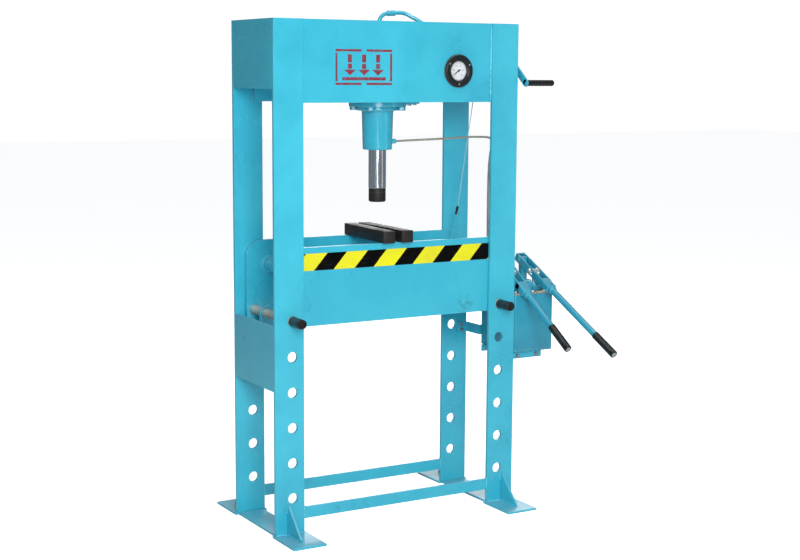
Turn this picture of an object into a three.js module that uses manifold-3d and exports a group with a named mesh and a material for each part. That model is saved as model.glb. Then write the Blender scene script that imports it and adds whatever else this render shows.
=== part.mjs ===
// Two-column hydraulic shop press with a hand pump, a table on pins and a rope winch.
// Units are millimetres and +Z is up. Lengths are first written in the press frame: X runs left to
// right, Y front to back, Z up from the floor, with the middle between the columns at X = Y = 0.
import * as THREE from 'three';
import { mergeVertices } from 'three/addons/utils/BufferGeometryUtils.js';
import Module from 'manifold-3d';

const wasm = await Module();
wasm.setup();

// ---------------------------------------------------------------- driving dimensions
const GAP = 0.3; // between parts that touch
const ROUND = 18; // sides of an ordinary round
const FINE = 36; // sides of a large round

const FRAME = { height: 1800, halfWidth: 498, halfDepth: 171 };
const UPRIGHT = { width: 112, thick: 12 };
const HOLES = { radius: 19, first: 136, pitch: 126, count: 6, inset: 68 };
const BEAM = { bottom: 1516, thick: 12, halfLength: 420, sideBottom: 1563, sideThick: 10 };
const LOWER_SIDE = { bottom: 521, top: 751 };
const BASE = { thick: 8, overhang: 7, inset: 6, reach: 328, stepY: 158 };
const GUSSET = { size: 105, thick: 8, x: 450 };
const RAIL = { bottom: 57, top: 99, thick: 8 };

const CYLINDER = { bore: 32.6, lipRadius: 53.5, rootRadius: 57.5, bottom: 1343, top: 1725 };
const FLANGE = { radius: 104.5, thick: 17.7, collarRadius: 76, collar: 14, bolt: 64.5, boltAcross: 24 };
const MOUNT = { half: 150, thick: 25, bore: 58 };
const RAM = { radius: 32, tipRadius: 31.4, tipLength: 49, bottom: 1153, top: 1560 };

const GAUGE = { x: 243, z: 1628, radius: 59, proud: 14, dial: 34, body: 42, bodyDepth: 46 };
const POINTER_ANGLE = THREE.MathUtils.degToRad(214); // from +X, seen from the front

const WINCH = { y: -53, z: 1706, drumRadius: 45, flangeRadius: 56, shaft: 10, left: 398, right: 470 };
const CRANK = { x: 510, thick: 6, width: 28, end: [-201, 1586], grip: 12, gripLength: 118 };
const TAB = { left: 106, right: 160, half: 30, thick: 8 }; // bolted bracket beside the cylinder
const WINCH_PLATE = { left: 270, right: 480, bottom: 1520, thick: 8 };

const TABLE = { bottom: 741, backBottom: 690, top: 1018, halfLength: 460, inner: 141, thick: 15, corner: 60 };
const SPACER = { x: 368, z: 929, radius: 30, wall: 4 };
const PIN = { x: 430, z: 766, radius: 17.5, front: -240, back: 178, neck: 14, grip: 17.3, proud: 75 };
const BLOCKS = [
  { name: 'block_left', x: -36.5, turn: 4.3 },
  { name: 'block_right', x: 30.5, turn: 1.6 },
];
const BLOCK = { width: 45, height: 43, length: 346, y: -6 };

const TANK = { left: 506, right: 681, front: -164, back: 65, bottom: 571, top: 791, wall: 3 };
const COVER = { lip: 3, thick: 6 };
const PUMP = { left: 516, right: 668, front: -122, back: 12, thick: 15, plungerY: -92, pivotY: -16 };
const LEVERS = [
  { name: '1', x: 540, pivotZ: 914, endY: -457, endZ: 631 },
  { name: '2', x: 643, pivotZ: 904, endY: -592, endZ: 624 },
];
const FORK = { length: 178, height: 30, plate: 6, half: 20, tube: 12.5, socketEnd: 212 };
const LEVER_GRIP = { radius: 14.5, length: 122 };
const PLUNGER = { rod: 8, barrel: 21, barrelTop: 828, barrelBottom: 735, pin: 5 };
const KNOB = { x: 594, z: 822, radius: 13, length: 18 };
const SHELF = { right: 641, front: -150, back: 50, thick: 6, skirt: 26 }; // under the tank
const STRAP = { bottom: 607, top: 645, thick: 6, hold: 44, reach: 60 }; // from the rear column to the tank
const PIPE_RADIUS = 4;
const HOSE_RADIUS = 7.4;
const ROPE_RADIUS = 2;

// The whole press is moved so that the middle of its outline stands on the origin.
const EXTENT = {
  left: -FRAME.halfWidth - BASE.overhang,
  right: TANK.right + COVER.lip,
  front: null,
  back: BASE.reach,
};

// ---------------------------------------------------------------- materials
const MATERIALS = {
  enamel: new THREE.MeshStandardMaterial({ color: 0x4cc4e8, roughness: 0.3, metalness: 0.0 }),
  black: new THREE.MeshStandardMaterial({ color: 0x14161a, roughness: 0.5, metalness: 0.0 }),
  oiled: new THREE.MeshStandardMaterial({ color: 0x1f1a18, roughness: 0.45, metalness: 0.7 }),
  chrome: new THREE.MeshStandardMaterial({ color: 0xd8d8e0, roughness: 0.12, metalness: 1.0 }),
  steel: new THREE.MeshStandardMaterial({ color: 0x9a9a98, roughness: 0.4, metalness: 1.0 }),
  dial: new THREE.MeshStandardMaterial({ color: 0xf2f4f8, roughness: 0.6, metalness: 0.0 }),
  glass: new THREE.MeshStandardMaterial({ color: 0xe8f4f8, roughness: 0.05, metalness: 0.0 }),
  zinc: new THREE.MeshStandardMaterial({ color: 0xb9b39c, roughness: 0.45, metalness: 0.6 }),
  rope: new THREE.MeshStandardMaterial({ color: 0x8fd8ea, roughness: 0.6, metalness: 0.2 }),
};

const press = new THREE.Group();

// ---------------------------------------------------------------- shape helpers
function welded(geometry) {
  const plain = geometry.index ? geometry.toNonIndexed() : geometry.clone();
  plain.deleteAttribute('normal');
  plain.deleteAttribute('uv');
  const merged = mergeVertices(plain, 1e-4);
  const source = merged.index.array;
  const kept = [];
  for (let i = 0; i < source.length; i += 3) {
    const [a, b, c] = [source[i], source[i + 1], source[i + 2]];
    if (a !== b && b !== c && c !== a) kept.push(a, b, c);
  }
  const result = new THREE.BufferGeometry();
  result.setAttribute('position', merged.getAttribute('position'));
  result.setIndex(signedVolume(merged.getAttribute('position'), kept) < 0 ? kept.reverse() : kept);
  return result;
}

function signedVolume(position, index) {
  const [a, b, c] = [new THREE.Vector3(), new THREE.Vector3(), new THREE.Vector3()];
  let total = 0;
  for (let i = 0; i < index.length; i += 3) {
    a.fromBufferAttribute(position, index[i]);
    b.fromBufferAttribute(position, index[i + 1]);
    c.fromBufferAttribute(position, index[i + 2]);
    total += a.dot(b.cross(c)) / 6;
  }
  return total;
}

function toSolid(geometry) {
  const clean = welded(geometry);
  const vertProperties = new Float32Array(clean.getAttribute('position').array);
  const triVerts = new Uint32Array(clean.index.array);
  return new wasm.Manifold(new wasm.Mesh({ numProp: 3, vertProperties, triVerts }));
}

function fromSolid(solid) {
  const mesh = solid.getMesh();
  const geometry = new THREE.BufferGeometry();
  const count = mesh.vertProperties.length / mesh.numProp;
  const positions = new Float32Array(count * 3);
  for (let i = 0; i < count; i += 1) {
    for (let k = 0; k < 3; k += 1) positions[3 * i + k] = mesh.vertProperties[mesh.numProp * i + k];
  }
  geometry.setAttribute('position', new THREE.BufferAttribute(positions, 3));
  geometry.setIndex(Array.from(mesh.triVerts));
  return geometry;
}

function cut(geometry, ...tools) {
  let solid = toSolid(geometry);
  for (const tool of tools) solid = solid.subtract(toSolid(tool));
  return fromSolid(solid);
}

function join(geometry, ...others) {
  let solid = toSolid(geometry);
  for (const other of others) solid = solid.add(toSolid(other));
  return fromSolid(solid);
}

function box(x0, x1, y0, y1, z0, z1) {
  const shape = new THREE.BoxGeometry(x1 - x0, y1 - y0, z1 - z0);
  return shape.translate((x0 + x1) / 2, (y0 + y1) / 2, (z0 + z1) / 2);
}

// A round bar from one point to another.
function bar(radius, from, to, sides = ROUND) {
  const start = new THREE.Vector3(...from);
  const end = new THREE.Vector3(...to);
  const along = end.clone().sub(start);
  const shape = new THREE.CylinderGeometry(radius, radius, along.length(), sides);
  const up = new THREE.Vector3(0, 1, 0);
  shape.applyQuaternion(new THREE.Quaternion().setFromUnitVectors(up, along.clone().normalize()));
  return shape.translate(...start.add(end).multiplyScalar(0.5).toArray());
}

// A hexagon head or nut, from one point to another.
function hexagon(across, from, to) {
  return bar(across / Math.sqrt(3), from, to, 6);
}

// A solid of revolution about +Z from [radius, height] pairs.
function turned(profile, sides = FINE) {
  const points = profile.map(([r, h]) => new THREE.Vector2(r, h));
  return new THREE.LatheGeometry(points, sides).rotateX(Math.PI / 2);
}

// An outline in (Y, Z), thickened along +X from x0.
function sidePlate(outline, x0, thick) {
  const shape = new THREE.Shape(outline.map(([y, z]) => new THREE.Vector2(y, z)));
  const solid = new THREE.ExtrudeGeometry(shape, { depth: thick, bevelEnabled: false });
  return solid.rotateY(Math.PI / 2).rotateX(Math.PI / 2).translate(x0, 0, 0);
}

// A shape in (X, Z), thickened along +Y from y0.
function facePlate(shape, y0, thick, curveSegments = 12) {
  const options = { depth: thick, bevelEnabled: false, curveSegments };
  return new THREE.ExtrudeGeometry(shape, options).rotateX(Math.PI / 2).translate(0, y0 + thick, 0);
}

// A round section swept along hand-set points.
function swept(points, radius, sides, stepLength) {
  const path = new THREE.CatmullRomCurve3(points.map((p) => new THREE.Vector3(...p)), false, 'centripetal');
  const section = new THREE.Shape();
  for (let i = 0; i < sides; i += 1) {
    const angle = (2 * Math.PI * i) / sides;
    const [x, y] = [radius * Math.cos(angle), radius * Math.sin(angle)];
    if (i === 0) section.moveTo(x, y);
    else section.lineTo(x, y);
  }
  const steps = Math.min(80, Math.ceil(path.getLength() / stepLength));
  return new THREE.ExtrudeGeometry(section, { steps, extrudePath: path, bevelEnabled: false });
}

function add(name, geometry, material) {
  const mesh = new THREE.Mesh(welded(geometry), material);
  mesh.name = name;
  press.add(mesh);
  return mesh;
}

// ---------------------------------------------------------------- frame
const INNER_Y = FRAME.halfDepth - UPRIGHT.thick; // inner faces of the uprights
const INNER_X = FRAME.halfWidth - UPRIGHT.width; // inner edges of the uprights
const HOLE_X = FRAME.halfWidth - HOLES.inset;
const LAP_Y = INNER_Y - GAP; // outer faces of the plates lapped inside the uprights

const SIDES = [
  ['left', -1],
  ['right', 1],
];
const ENDS = [
  ['front', -1],
  ['back', 1],
];

function span(a, b) {
  return a < b ? [a, b] : [b, a];
}

function makeUprights() {
  for (const [end, ySign] of ENDS) {
    for (const [side, xSign] of SIDES) {
      const [x0, x1] = span(xSign * FRAME.halfWidth, xSign * INNER_X);
      const [y0, y1] = span(ySign * FRAME.halfDepth, ySign * INNER_Y);
      const drills = [];
      for (let k = 0; k < HOLES.count; k += 1) {
        const z = HOLES.first + k * HOLES.pitch;
        drills.push(bar(HOLES.radius, [xSign * HOLE_X, y0 - 5, z], [xSign * HOLE_X, y1 + 5, z], ROUND));
      }
      const plate = box(x0, x1, y0, y1, BASE.thick + GAP, FRAME.height);
      add(`upright_${end}_${side}`, cut(plate, ...drills), MATERIALS.enamel);
    }
  }
}

function makeBeam() {
  const inner = LAP_Y - BEAM.thick;
  const front = box(-BEAM.halfLength, BEAM.halfLength, -LAP_Y, -inner, BEAM.bottom, FRAME.height);
  const gaugeHole = bar(GAUGE.body + 1, [GAUGE.x, -LAP_Y - 5, GAUGE.z], [GAUGE.x, -inner + 5, GAUGE.z], 36);
  add('beam_front_plate', cut(front, gaugeHole), MATERIALS.enamel);
  const back = box(-BEAM.halfLength, BEAM.halfLength, inner, LAP_Y, BEAM.bottom, FRAME.height);
  add('beam_back_plate', back, MATERIALS.enamel);

  const outerX = FRAME.halfWidth;
  const innerX = outerX - BEAM.sideThick;
  const left = box(-outerX, -innerX, -LAP_Y, LAP_Y, BEAM.sideBottom, FRAME.height);
  add('side_plate_top_left', left, MATERIALS.enamel);
  const shaftHole = bar(WINCH.shaft + 1.5, [innerX - 5, WINCH.y, WINCH.z], [outerX + 5, WINCH.y, WINCH.z]);
  const right = box(innerX, outerX, -LAP_Y, LAP_Y, BEAM.sideBottom, FRAME.height);
  add('side_plate_top_right', cut(right, shaftHole), MATERIALS.enamel);
  const { bottom, top } = LOWER_SIDE;
  add('side_plate_lower_left', box(-outerX, -innerX, -LAP_Y, LAP_Y, bottom, top), MATERIALS.enamel);

  const webY = inner - GAP;
  const mount = box(-MOUNT.half, MOUNT.half, -webY, webY, BEAM.bottom + GAP, BEAM.bottom + MOUNT.thick);
  const bore = bar(MOUNT.bore, [0, 0, BEAM.bottom - 5], [0, 0, BEAM.bottom + MOUNT.thick + 5], FINE);
  add('cylinder_mount_plate', cut(mount, bore), MATERIALS.enamel);

  const { left: plateLeft, right: plateRight, bottom: plateBottom, thick } = WINCH_PLATE;
  const shelf = box(plateLeft, plateRight, -webY, webY, plateBottom, plateBottom + thick);
  const ropeSlot = box(400, 440, 0, 50, plateBottom - 5, plateBottom + thick + 5);
  add('winch_plate', cut(shelf, ropeSlot), MATERIALS.enamel);

  const tab = box(TAB.left, TAB.right, -TAB.half, TAB.half, BEAM.bottom - TAB.thick, BEAM.bottom);
  const [high, low] = [BEAM.bottom - TAB.thick + 1, BEAM.bottom - TAB.thick - 5];
  const bolts = [TAB.left + 14, TAB.right - 14].map((x) => hexagon(13, [x, -18, high], [x, -18, low]));
  add('beam_tab', join(tab, ...bolts), MATERIALS.enamel);
}

function makeBase() {
  for (const [side, xSign] of SIDES) {
    const [x0, x1] = span(xSign * (FRAME.halfWidth - BASE.inset), xSign * (INNER_X + BASE.inset));
    const strip = box(x0, x1, -BASE.stepY - 1, BASE.stepY + 1, 0, BASE.thick);
    const feet = ENDS.map(([, ySign]) => {
      const [f0, f1] = span(xSign * (FRAME.halfWidth + BASE.overhang), xSign * (INNER_X - BASE.overhang));
      const [y0, y1] = span(ySign * BASE.stepY, ySign * BASE.reach);
      return box(f0, f1, y0, y1, 0, BASE.thick);
    });
    add(`base_plate_${side}`, join(strip, ...feet), MATERIALS.enamel);
    for (const [end, ySign] of ENDS) {
      const root = ySign * (FRAME.halfDepth + GAP);
      const low = BASE.thick + GAP;
      const outline = [
        [root, low],
        [root + ySign * GUSSET.size, low],
        [root + ySign * GUSSET.size, low + 8],
        [root + ySign * 8, low + GUSSET.size],
        [root, low + GUSSET.size],
      ];
      const plate = sidePlate(outline, xSign * GUSSET.x - GUSSET.thick / 2, GUSSET.thick);
      add(`gusset_${end}_${side}`, plate, MATERIALS.enamel);
    }
  }
  const railX = INNER_X - GAP;
  for (const [end, ySign] of ENDS) {
    const [y0, y1] = span(ySign * (INNER_Y + 2), ySign * (INNER_Y + 2 + RAIL.thick));
    add(`rail_${end}`, box(-railX, railX, y0, y1, RAIL.bottom, RAIL.top), MATERIALS.enamel);
  }
}

// ---------------------------------------------------------------- cylinder and ram
function makeCylinder() {
  const { bore, lipRadius, rootRadius, bottom, top } = CYLINDER;
  const flangeTop = BEAM.bottom - GAP;
  const flangeBottom = flangeTop - FLANGE.thick;
  const collarBottom = flangeBottom - FLANGE.collar;
  const body = turned([
    [0, top],
    [rootRadius - 8, top],
    [rootRadius - 2, top - 6],
    [rootRadius - 2, flangeTop],
    [FLANGE.radius, flangeTop],
    [FLANGE.radius, flangeBottom],
    [FLANGE.collarRadius, flangeBottom],
    [FLANGE.collarRadius, collarBottom],
    [rootRadius, collarBottom],
    [lipRadius, bottom + 2],
    [lipRadius - 2, bottom],
    [bore, bottom],
    [bore, top - 30],
    [0, top - 30],
  ]);
  add('cylinder_body', body, MATERIALS.enamel);

  const headTop = flangeBottom - GAP;
  const ring = turned([
    [FLANGE.collarRadius + 4, headTop],
    [FLANGE.collarRadius + 4, headTop - 1.5],
    [FLANGE.collarRadius + 20, headTop - 1.5],
    [FLANGE.collarRadius + 20, headTop],
    [FLANGE.collarRadius + 4, headTop],
  ]);
  const heads = [];
  for (const sx of [-1, 1]) {
    for (const sy of [-1, 1]) {
      const [x, y] = [sx * FLANGE.bolt, sy * FLANGE.bolt];
      heads.push(hexagon(FLANGE.boltAcross, [x, y, headTop], [x, y, headTop - 13]));
    }
  }
  add('flange_bolts', join(ring, ...heads), MATERIALS.enamel);

  const tipTop = RAM.bottom + RAM.tipLength;
  add('ram_rod', turned([[0, RAM.top], [RAM.radius, RAM.top], [RAM.radius, tipTop + GAP], [0, tipTop + GAP]]),
    MATERIALS.chrome);
  add('ram_tip', turned([
    [0, tipTop],
    [RAM.tipRadius, tipTop],
    [RAM.tipRadius, RAM.bottom + 4],
    [RAM.tipRadius - 4, RAM.bottom],
    [0, RAM.bottom],
  ]), MATERIALS.oiled);
}

// ---------------------------------------------------------------- gauge
function makeGauge() {
  const faceY = -LAP_Y;
  const place = (geometry) => geometry.rotateX(Math.PI / 2).translate(GAUGE.x, faceY, GAUGE.z);
  const { radius, proud, dial, body, bodyDepth } = GAUGE;
  const bezel = [
    [0, -bodyDepth],
    [body - 3, -bodyDepth],
    [body, -bodyDepth + 3],
    [body, GAP],
    [radius, GAP],
    [radius, proud - 4],
    [radius - 4, proud],
    [dial + 4, proud],
    [dial + 2.5, proud - 4],
    [dial + 2.5, proud - 6],
    [dial + 0.6, proud - 6],
    [dial + 0.6, 2],
    [0, 2],
  ];
  add('gauge_case', place(turned(bezel)), MATERIALS.black);
  add('gauge_dial', place(turned([[0, 2 + GAP], [dial, 2 + GAP], [dial, 3.5], [0, 3.5]])), MATERIALS.dial);
  const lens = [[0, proud - 5.7], [dial + 2, proud - 5.7], [dial + 2, proud - 4.2], [0, proud - 4.2]];
  add('gauge_lens', place(turned(lens)), MATERIALS.glass);

  const [near, far] = [faceY - 4.2, faceY - 5.4];
  const hub = bar(4, [GAUGE.x, near, GAUGE.z], [GAUGE.x, far, GAUGE.z], 16);
  const needle = new THREE.Shape();
  needle.moveTo(-9, -2.2);
  needle.lineTo(10, -1.6);
  needle.lineTo(29, -0.5);
  needle.lineTo(29, 0.5);
  needle.lineTo(10, 1.6);
  needle.lineTo(-9, 2.2);
  const blade = new THREE.ExtrudeGeometry(needle, { depth: near - far, bevelEnabled: false });
  blade.rotateZ(POINTER_ANGLE).rotateX(Math.PI / 2).translate(GAUGE.x, near, GAUGE.z);
  add('gauge_pointer', join(hub, blade), MATERIALS.black);

  const rearY = faceY + bodyDepth + GAP;
  const block = box(GAUGE.x - 13, GAUGE.x + 13, rearY, rearY + 40, GAUGE.z - 16, GAUGE.z + 16);
  add('gauge_block', block, MATERIALS.zinc);
}

// ---------------------------------------------------------------- hose and pipe
const HOSE_ROUTE = [
  [0, 0, CYLINDER.top + GAP],
  [0, 0, 1775],
  [5, 0, 1803],
  [17, 0, 1823],
  [36, 0, 1833],
  [60, -2, 1834.5],
  [103, -10, 1834.5],
  [133, -25, 1819],
  [159, -45, 1800],
  [200, -74, 1755],
  [232, -90, 1700],
  [GAUGE.x, -92.4, 1668],
  [GAUGE.x, -92.4, GAUGE.z + 16 + GAP],
];

const PIPE_ROUTE = [
  [79, 0, 1372],
  [140, 0, 1374],
  [294, 0, 1378],
  [429, 0, 1382],
  [490, 0, 1377],
  [508, 8, 1362],
  [513, 26, 1325],
  [514, 38, 1260],
  [514, 40, 1000],
  [516, 40, 900],
  [528, 40, 862],
  [560, 40, 846],
  [592, 34, 838],
  [596, 24, 834],
  [596, 16 + GAP, 834],
];

// The stretch of the top hose that its collar is crimped on.
const COLLAR = { from: [40, 0, 1833.4], to: [70, -3, 1834.6], radius: 10.5 };

function makeLines() {
  const hose = swept(HOSE_ROUTE, HOSE_RADIUS, 10, 18);
  const collar = bar(COLLAR.radius, COLLAR.from, COLLAR.to, 12);
  add('top_hose', hose, MATERIALS.enamel);
  const from = new THREE.Vector3(...COLLAR.from);
  const to = new THREE.Vector3(...COLLAR.to);
  const reach = to.clone().sub(from).setLength(20);
  const bore = bar(HOSE_RADIUS + 0.8, from.clone().sub(reach).toArray(), to.clone().add(reach).toArray(), 24);
  add('hose_collar', cut(collar, bore), MATERIALS.enamel);

  add('pressure_pipe', swept(PIPE_ROUTE, PIPE_RADIUS, 8, 26), MATERIALS.zinc);
  const [pipeX, , pipeZ] = PIPE_ROUTE[0];
  const portX = CYLINDER.lipRadius + 1.7;
  const union = join(
    bar(9, [portX, 0, pipeZ], [portX + 8, 0, pipeZ]),
    hexagon(15, [portX + 7, 0, pipeZ], [pipeX - GAP, 0, pipeZ]),
  );
  add('pipe_union', union, MATERIALS.enamel);
}

// ---------------------------------------------------------------- winch
function makeWinch() {
  const { y, z, drumRadius, flangeRadius, shaft, left, right } = WINCH;
  const core = bar(drumRadius - ROPE_RADIUS, [left, y, z], [right, y, z]);
  const cheeks = [left, right - 4].map((x) => bar(flangeRadius, [x, y, z], [x + 4, y, z]));
  const axle = bar(shaft, [left - 8, y, z], [CRANK.x + CRANK.thick + 8, y, z]);
  const [endY, endZ] = CRANK.end;
  const reach = Math.hypot(endY - y, endZ - z);
  const tilt = Math.atan2(endZ - z, endY - y);
  const half = CRANK.width / 2;
  const arm = new THREE.Shape();
  arm.absarc(0, 0, half, Math.PI / 2, (3 * Math.PI) / 2);
  arm.absarc(reach, 0, half, -Math.PI / 2, Math.PI / 2);
  const armOptions = { depth: CRANK.thick, bevelEnabled: false, curveSegments: 10 };
  const armSolid = new THREE.ExtrudeGeometry(arm, armOptions);
  armSolid.rotateZ(tilt).rotateY(Math.PI / 2).rotateX(Math.PI / 2).translate(CRANK.x, y, z);
  const gripPin = bar(5, [CRANK.x + 1, endY, endZ], [CRANK.x + CRANK.thick + 100, endY, endZ]);
  add('winch_crank', join(core, ...cheeks, axle, armSolid, gripPin), MATERIALS.enamel);

  const gripLeft = CRANK.x + CRANK.thick + 1.5;
  const profile = [
    [5.4, 0],
    [CRANK.grip - 1.5, 0],
    [CRANK.grip, 4],
    [CRANK.grip, CRANK.gripLength - 4],
    [CRANK.grip - 3, CRANK.gripLength],
    [0, CRANK.gripLength],
    [0, 101],
    [5.4, 101],
    [5.4, 0],
  ];
  const grip = turned(profile, ROUND).rotateY(Math.PI / 2).translate(gripLeft, endY, endZ);
  add('crank_grip', grip, MATERIALS.black);
}

const EYE = { x: SPACER.x, y: 85, z: 984 };

function makeRope() {
  const ropeTop = [440, WINCH.y + WINCH.drumRadius + ROPE_RADIUS + GAP, WINCH.z];
  const ropeEnd = [EYE.x + 27.7, EYE.y - 13.2, EYE.z + 131];
  add('rope', bar(ROPE_RADIUS, ropeTop, ropeEnd, 8), MATERIALS.rope);
  const rodTop = [EYE.x + 27, EYE.y - 12.8, EYE.z + 127];
  const crimpTop = [EYE.x + 27.6, EYE.y - 13.1, EYE.z + 130.4];
  const crimp = bar(5, [EYE.x + 22, EYE.y - 10.4, EYE.z + 99], crimpTop, 12);
  const rod = bar(3.5, [EYE.x, EYE.y, SPACER.z + SPACER.radius - 1], rodTop, 12);
  const tubeTop = SPACER.z + SPACER.radius;
  const tab = bar(6, [EYE.x, EYE.y, tubeTop + GAP], [EYE.x, EYE.y, tubeTop + 8], 12);
  const below = box(EYE.x - 20, EYE.x + 20, EYE.y - 20, EYE.y + 20, SPACER.z, tubeTop + GAP);
  add('rope_hook', cut(join(rod, crimp, tab), below), MATERIALS.enamel);
}

// ---------------------------------------------------------------- table
function tableOutline(bottom) {
  const { top, halfLength, corner } = TABLE;
  const notch = PIN.radius + GAP;
  const shape = new THREE.Shape();
  shape.moveTo(-halfLength, bottom);
  shape.lineTo(-PIN.x - notch, bottom);
  shape.lineTo(-PIN.x - notch, PIN.z);
  shape.absarc(-PIN.x, PIN.z, notch, Math.PI, 0, true);
  shape.lineTo(-PIN.x + notch, bottom);
  shape.lineTo(PIN.x - notch, bottom);
  shape.lineTo(PIN.x - notch, PIN.z);
  shape.absarc(PIN.x, PIN.z, notch, Math.PI, 0, true);
  shape.lineTo(PIN.x + notch, bottom);
  shape.lineTo(halfLength, bottom);
  shape.lineTo(halfLength, top - corner);
  shape.absarc(halfLength - corner, top - corner, corner, 0, Math.PI / 2);
  shape.lineTo(-halfLength + corner, top);
  shape.absarc(-halfLength + corner, top - corner, corner, Math.PI / 2, Math.PI);
  return shape;
}

function makeTable() {
  const { bottom, backBottom, inner, thick } = TABLE;
  add('table_plate_front', facePlate(tableOutline(bottom), -inner - thick, thick), MATERIALS.enamel);
  add('table_plate_back', facePlate(tableOutline(backBottom), inner, thick), MATERIALS.enamel);
  for (const [side, xSign] of SIDES) {
    const reach = inner - GAP;
    const r = SPACER.radius;
    const bore = r - SPACER.wall;
    const profile = [[bore, -reach], [r, -reach], [r, reach], [bore, reach], [bore, -reach]];
    const tube = turned(profile, 24).rotateX(Math.PI / 2).translate(xSign * SPACER.x, 0, SPACER.z);
    add(`table_spacer_${side}`, tube, MATERIALS.enamel);
  }
  for (const { name, x, turn } of BLOCKS) {
    const bed = TABLE.top + GAP;
    const [halfX, halfY] = [BLOCK.width / 2, BLOCK.length / 2];
    const blank = box(-halfX, halfX, -halfY, halfY, bed, bed + BLOCK.height);
    blank.rotateZ(-THREE.MathUtils.degToRad(turn)).translate(x, BLOCK.y, 0);
    add(name, blank, MATERIALS.oiled);
  }
}

function makePins() {
  for (const [side, xSign] of SIDES) {
    const place = (geometry) => geometry.rotateX(-Math.PI / 2).translate(xSign * PIN.x, 0, PIN.z);
    const shoulder = -FRAME.halfDepth - 2;
    const pin = turned([
      [0, PIN.front],
      [PIN.neck, PIN.front],
      [PIN.neck, shoulder],
      [PIN.radius, shoulder],
      [PIN.radius, PIN.back - 3],
      [PIN.radius - 3, PIN.back],
      [0, PIN.back],
    ], 24);
    add(`pin_${side}`, place(pin), MATERIALS.steel);
    const near = shoulder - GAP;
    const far = near - PIN.proud;
    const bore = PIN.neck + GAP;
    const outside = [[bore, near], [PIN.grip, near], [PIN.grip, far + 3], [PIN.grip - 3, far]];
    const open = [...outside, [bore, far], [bore, near]];
    const closed = [
      [bore, near],
      [PIN.grip, near],
      [PIN.grip, far + 4],
      [PIN.grip - 4, far],
      [0, far],
      [0, PIN.front - GAP],
      [bore, PIN.front - GAP],
      [bore, near],
    ];
    add(`pin_grip_${side}`, place(turned(side === 'left' ? open : closed, 20)), MATERIALS.black);
  }
}

// ---------------------------------------------------------------- hand pump
function makeTank() {
  const { left, right, front, back, bottom, top, wall } = TANK;
  const outer = box(left, right, front, back, bottom, top);
  const hollow = box(left + wall, right - wall, front + wall, back - wall, bottom + wall, top + 5);
  add('pump_tank', cut(outer, hollow), MATERIALS.enamel);
  const low = top + GAP;
  const { lip } = COVER;
  const cover = box(left - lip, right + lip, front - lip, back + lip, low, low + COVER.thick);
  const wells = LEVERS.map(({ x }) => {
    const y = PUMP.plungerY;
    return bar(PLUNGER.barrel + 1, [x, y, low - 5], [x, y, low + 11]);
  });
  add('pump_cover', cut(cover, ...wells), MATERIALS.zinc);

  const shelfTop = bottom - GAP;
  const shelfLeft = FRAME.halfWidth + GAP;
  const [skirtLow, skirtHigh] = [shelfTop - SHELF.skirt, shelfTop - SHELF.thick + 1];
  const shelf = join(
    box(shelfLeft, SHELF.right, SHELF.front, SHELF.back, shelfTop - SHELF.thick, shelfTop),
    box(shelfLeft, SHELF.right, SHELF.front, SHELF.front + SHELF.thick, skirtLow, skirtHigh),
    box(shelfLeft, SHELF.right, SHELF.back - SHELF.thick, SHELF.back, skirtLow, skirtHigh),
  );
  add('pump_shelf', shelf, MATERIALS.enamel);

  const strapX = FRAME.halfWidth + GAP;
  const rearY = INNER_Y - GAP;
  const { bottom: strapLow, top: strapHigh, thick } = STRAP;
  const strap = join(
    box(strapX - STRAP.hold, strapX + thick, rearY - thick, rearY, strapLow, strapHigh),
    box(strapX, strapX + thick, back + thick - 1, rearY, strapLow, strapHigh),
    box(strapX, strapX + STRAP.reach, back + GAP, back + thick + GAP, strapLow, strapHigh),
  );
  add('pump_strap', strap, MATERIALS.enamel);
}

function makePumpBody() {
  const low = TANK.top + COVER.thick + 2 * GAP;
  const { left, right, front, back, thick, plungerY, pivotY } = PUMP;
  const parts = [];
  const bores = [];
  for (const { x, pivotZ } of LEVERS) {
    parts.push(bar(PLUNGER.barrel, [x, plungerY, PLUNGER.barrelBottom], [x, plungerY, PLUNGER.barrelTop]));
    const [boreLow, boreHigh] = [PLUNGER.barrelBottom + 10, PLUNGER.barrelTop + 5];
    bores.push(bar(PLUNGER.rod + 0.6, [x, plungerY, boreLow], [x, plungerY, boreHigh]));
    parts.push(box(x - 13, x + 13, pivotY - 12, pivotY + 12, low + 5, pivotZ + 12));
    bores.push(bar(6.6, [x - 20, pivotY, pivotZ], [x + 20, pivotY, pivotZ]));
  }
  parts.push(box(578, 614, -20, 16, low + 5, low + 50));
  parts.push(bar(5, [KNOB.x, front - 7, KNOB.z], [KNOB.x, front + 10, KNOB.z]));
  parts.push(box(KNOB.x - 16, KNOB.x + 16, front, front + 40, low + 5, KNOB.z + 14));
  const body = join(box(left, right, front, back, low, low + thick), ...parts);
  add('pump_body', cut(body, ...bores), MATERIALS.enamel);

  const knob = turned([
    [5.4, 0],
    [KNOB.radius, 0],
    [KNOB.radius, KNOB.length - 3],
    [KNOB.radius - 3, KNOB.length],
    [0, KNOB.length],
    [0, 6],
    [5.4, 6],
    [5.4, 0],
  ], 16).rotateX(Math.PI / 2).translate(KNOB.x, front - 4 - GAP, KNOB.z);
  add('release_knob', knob, MATERIALS.enamel);
}

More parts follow.
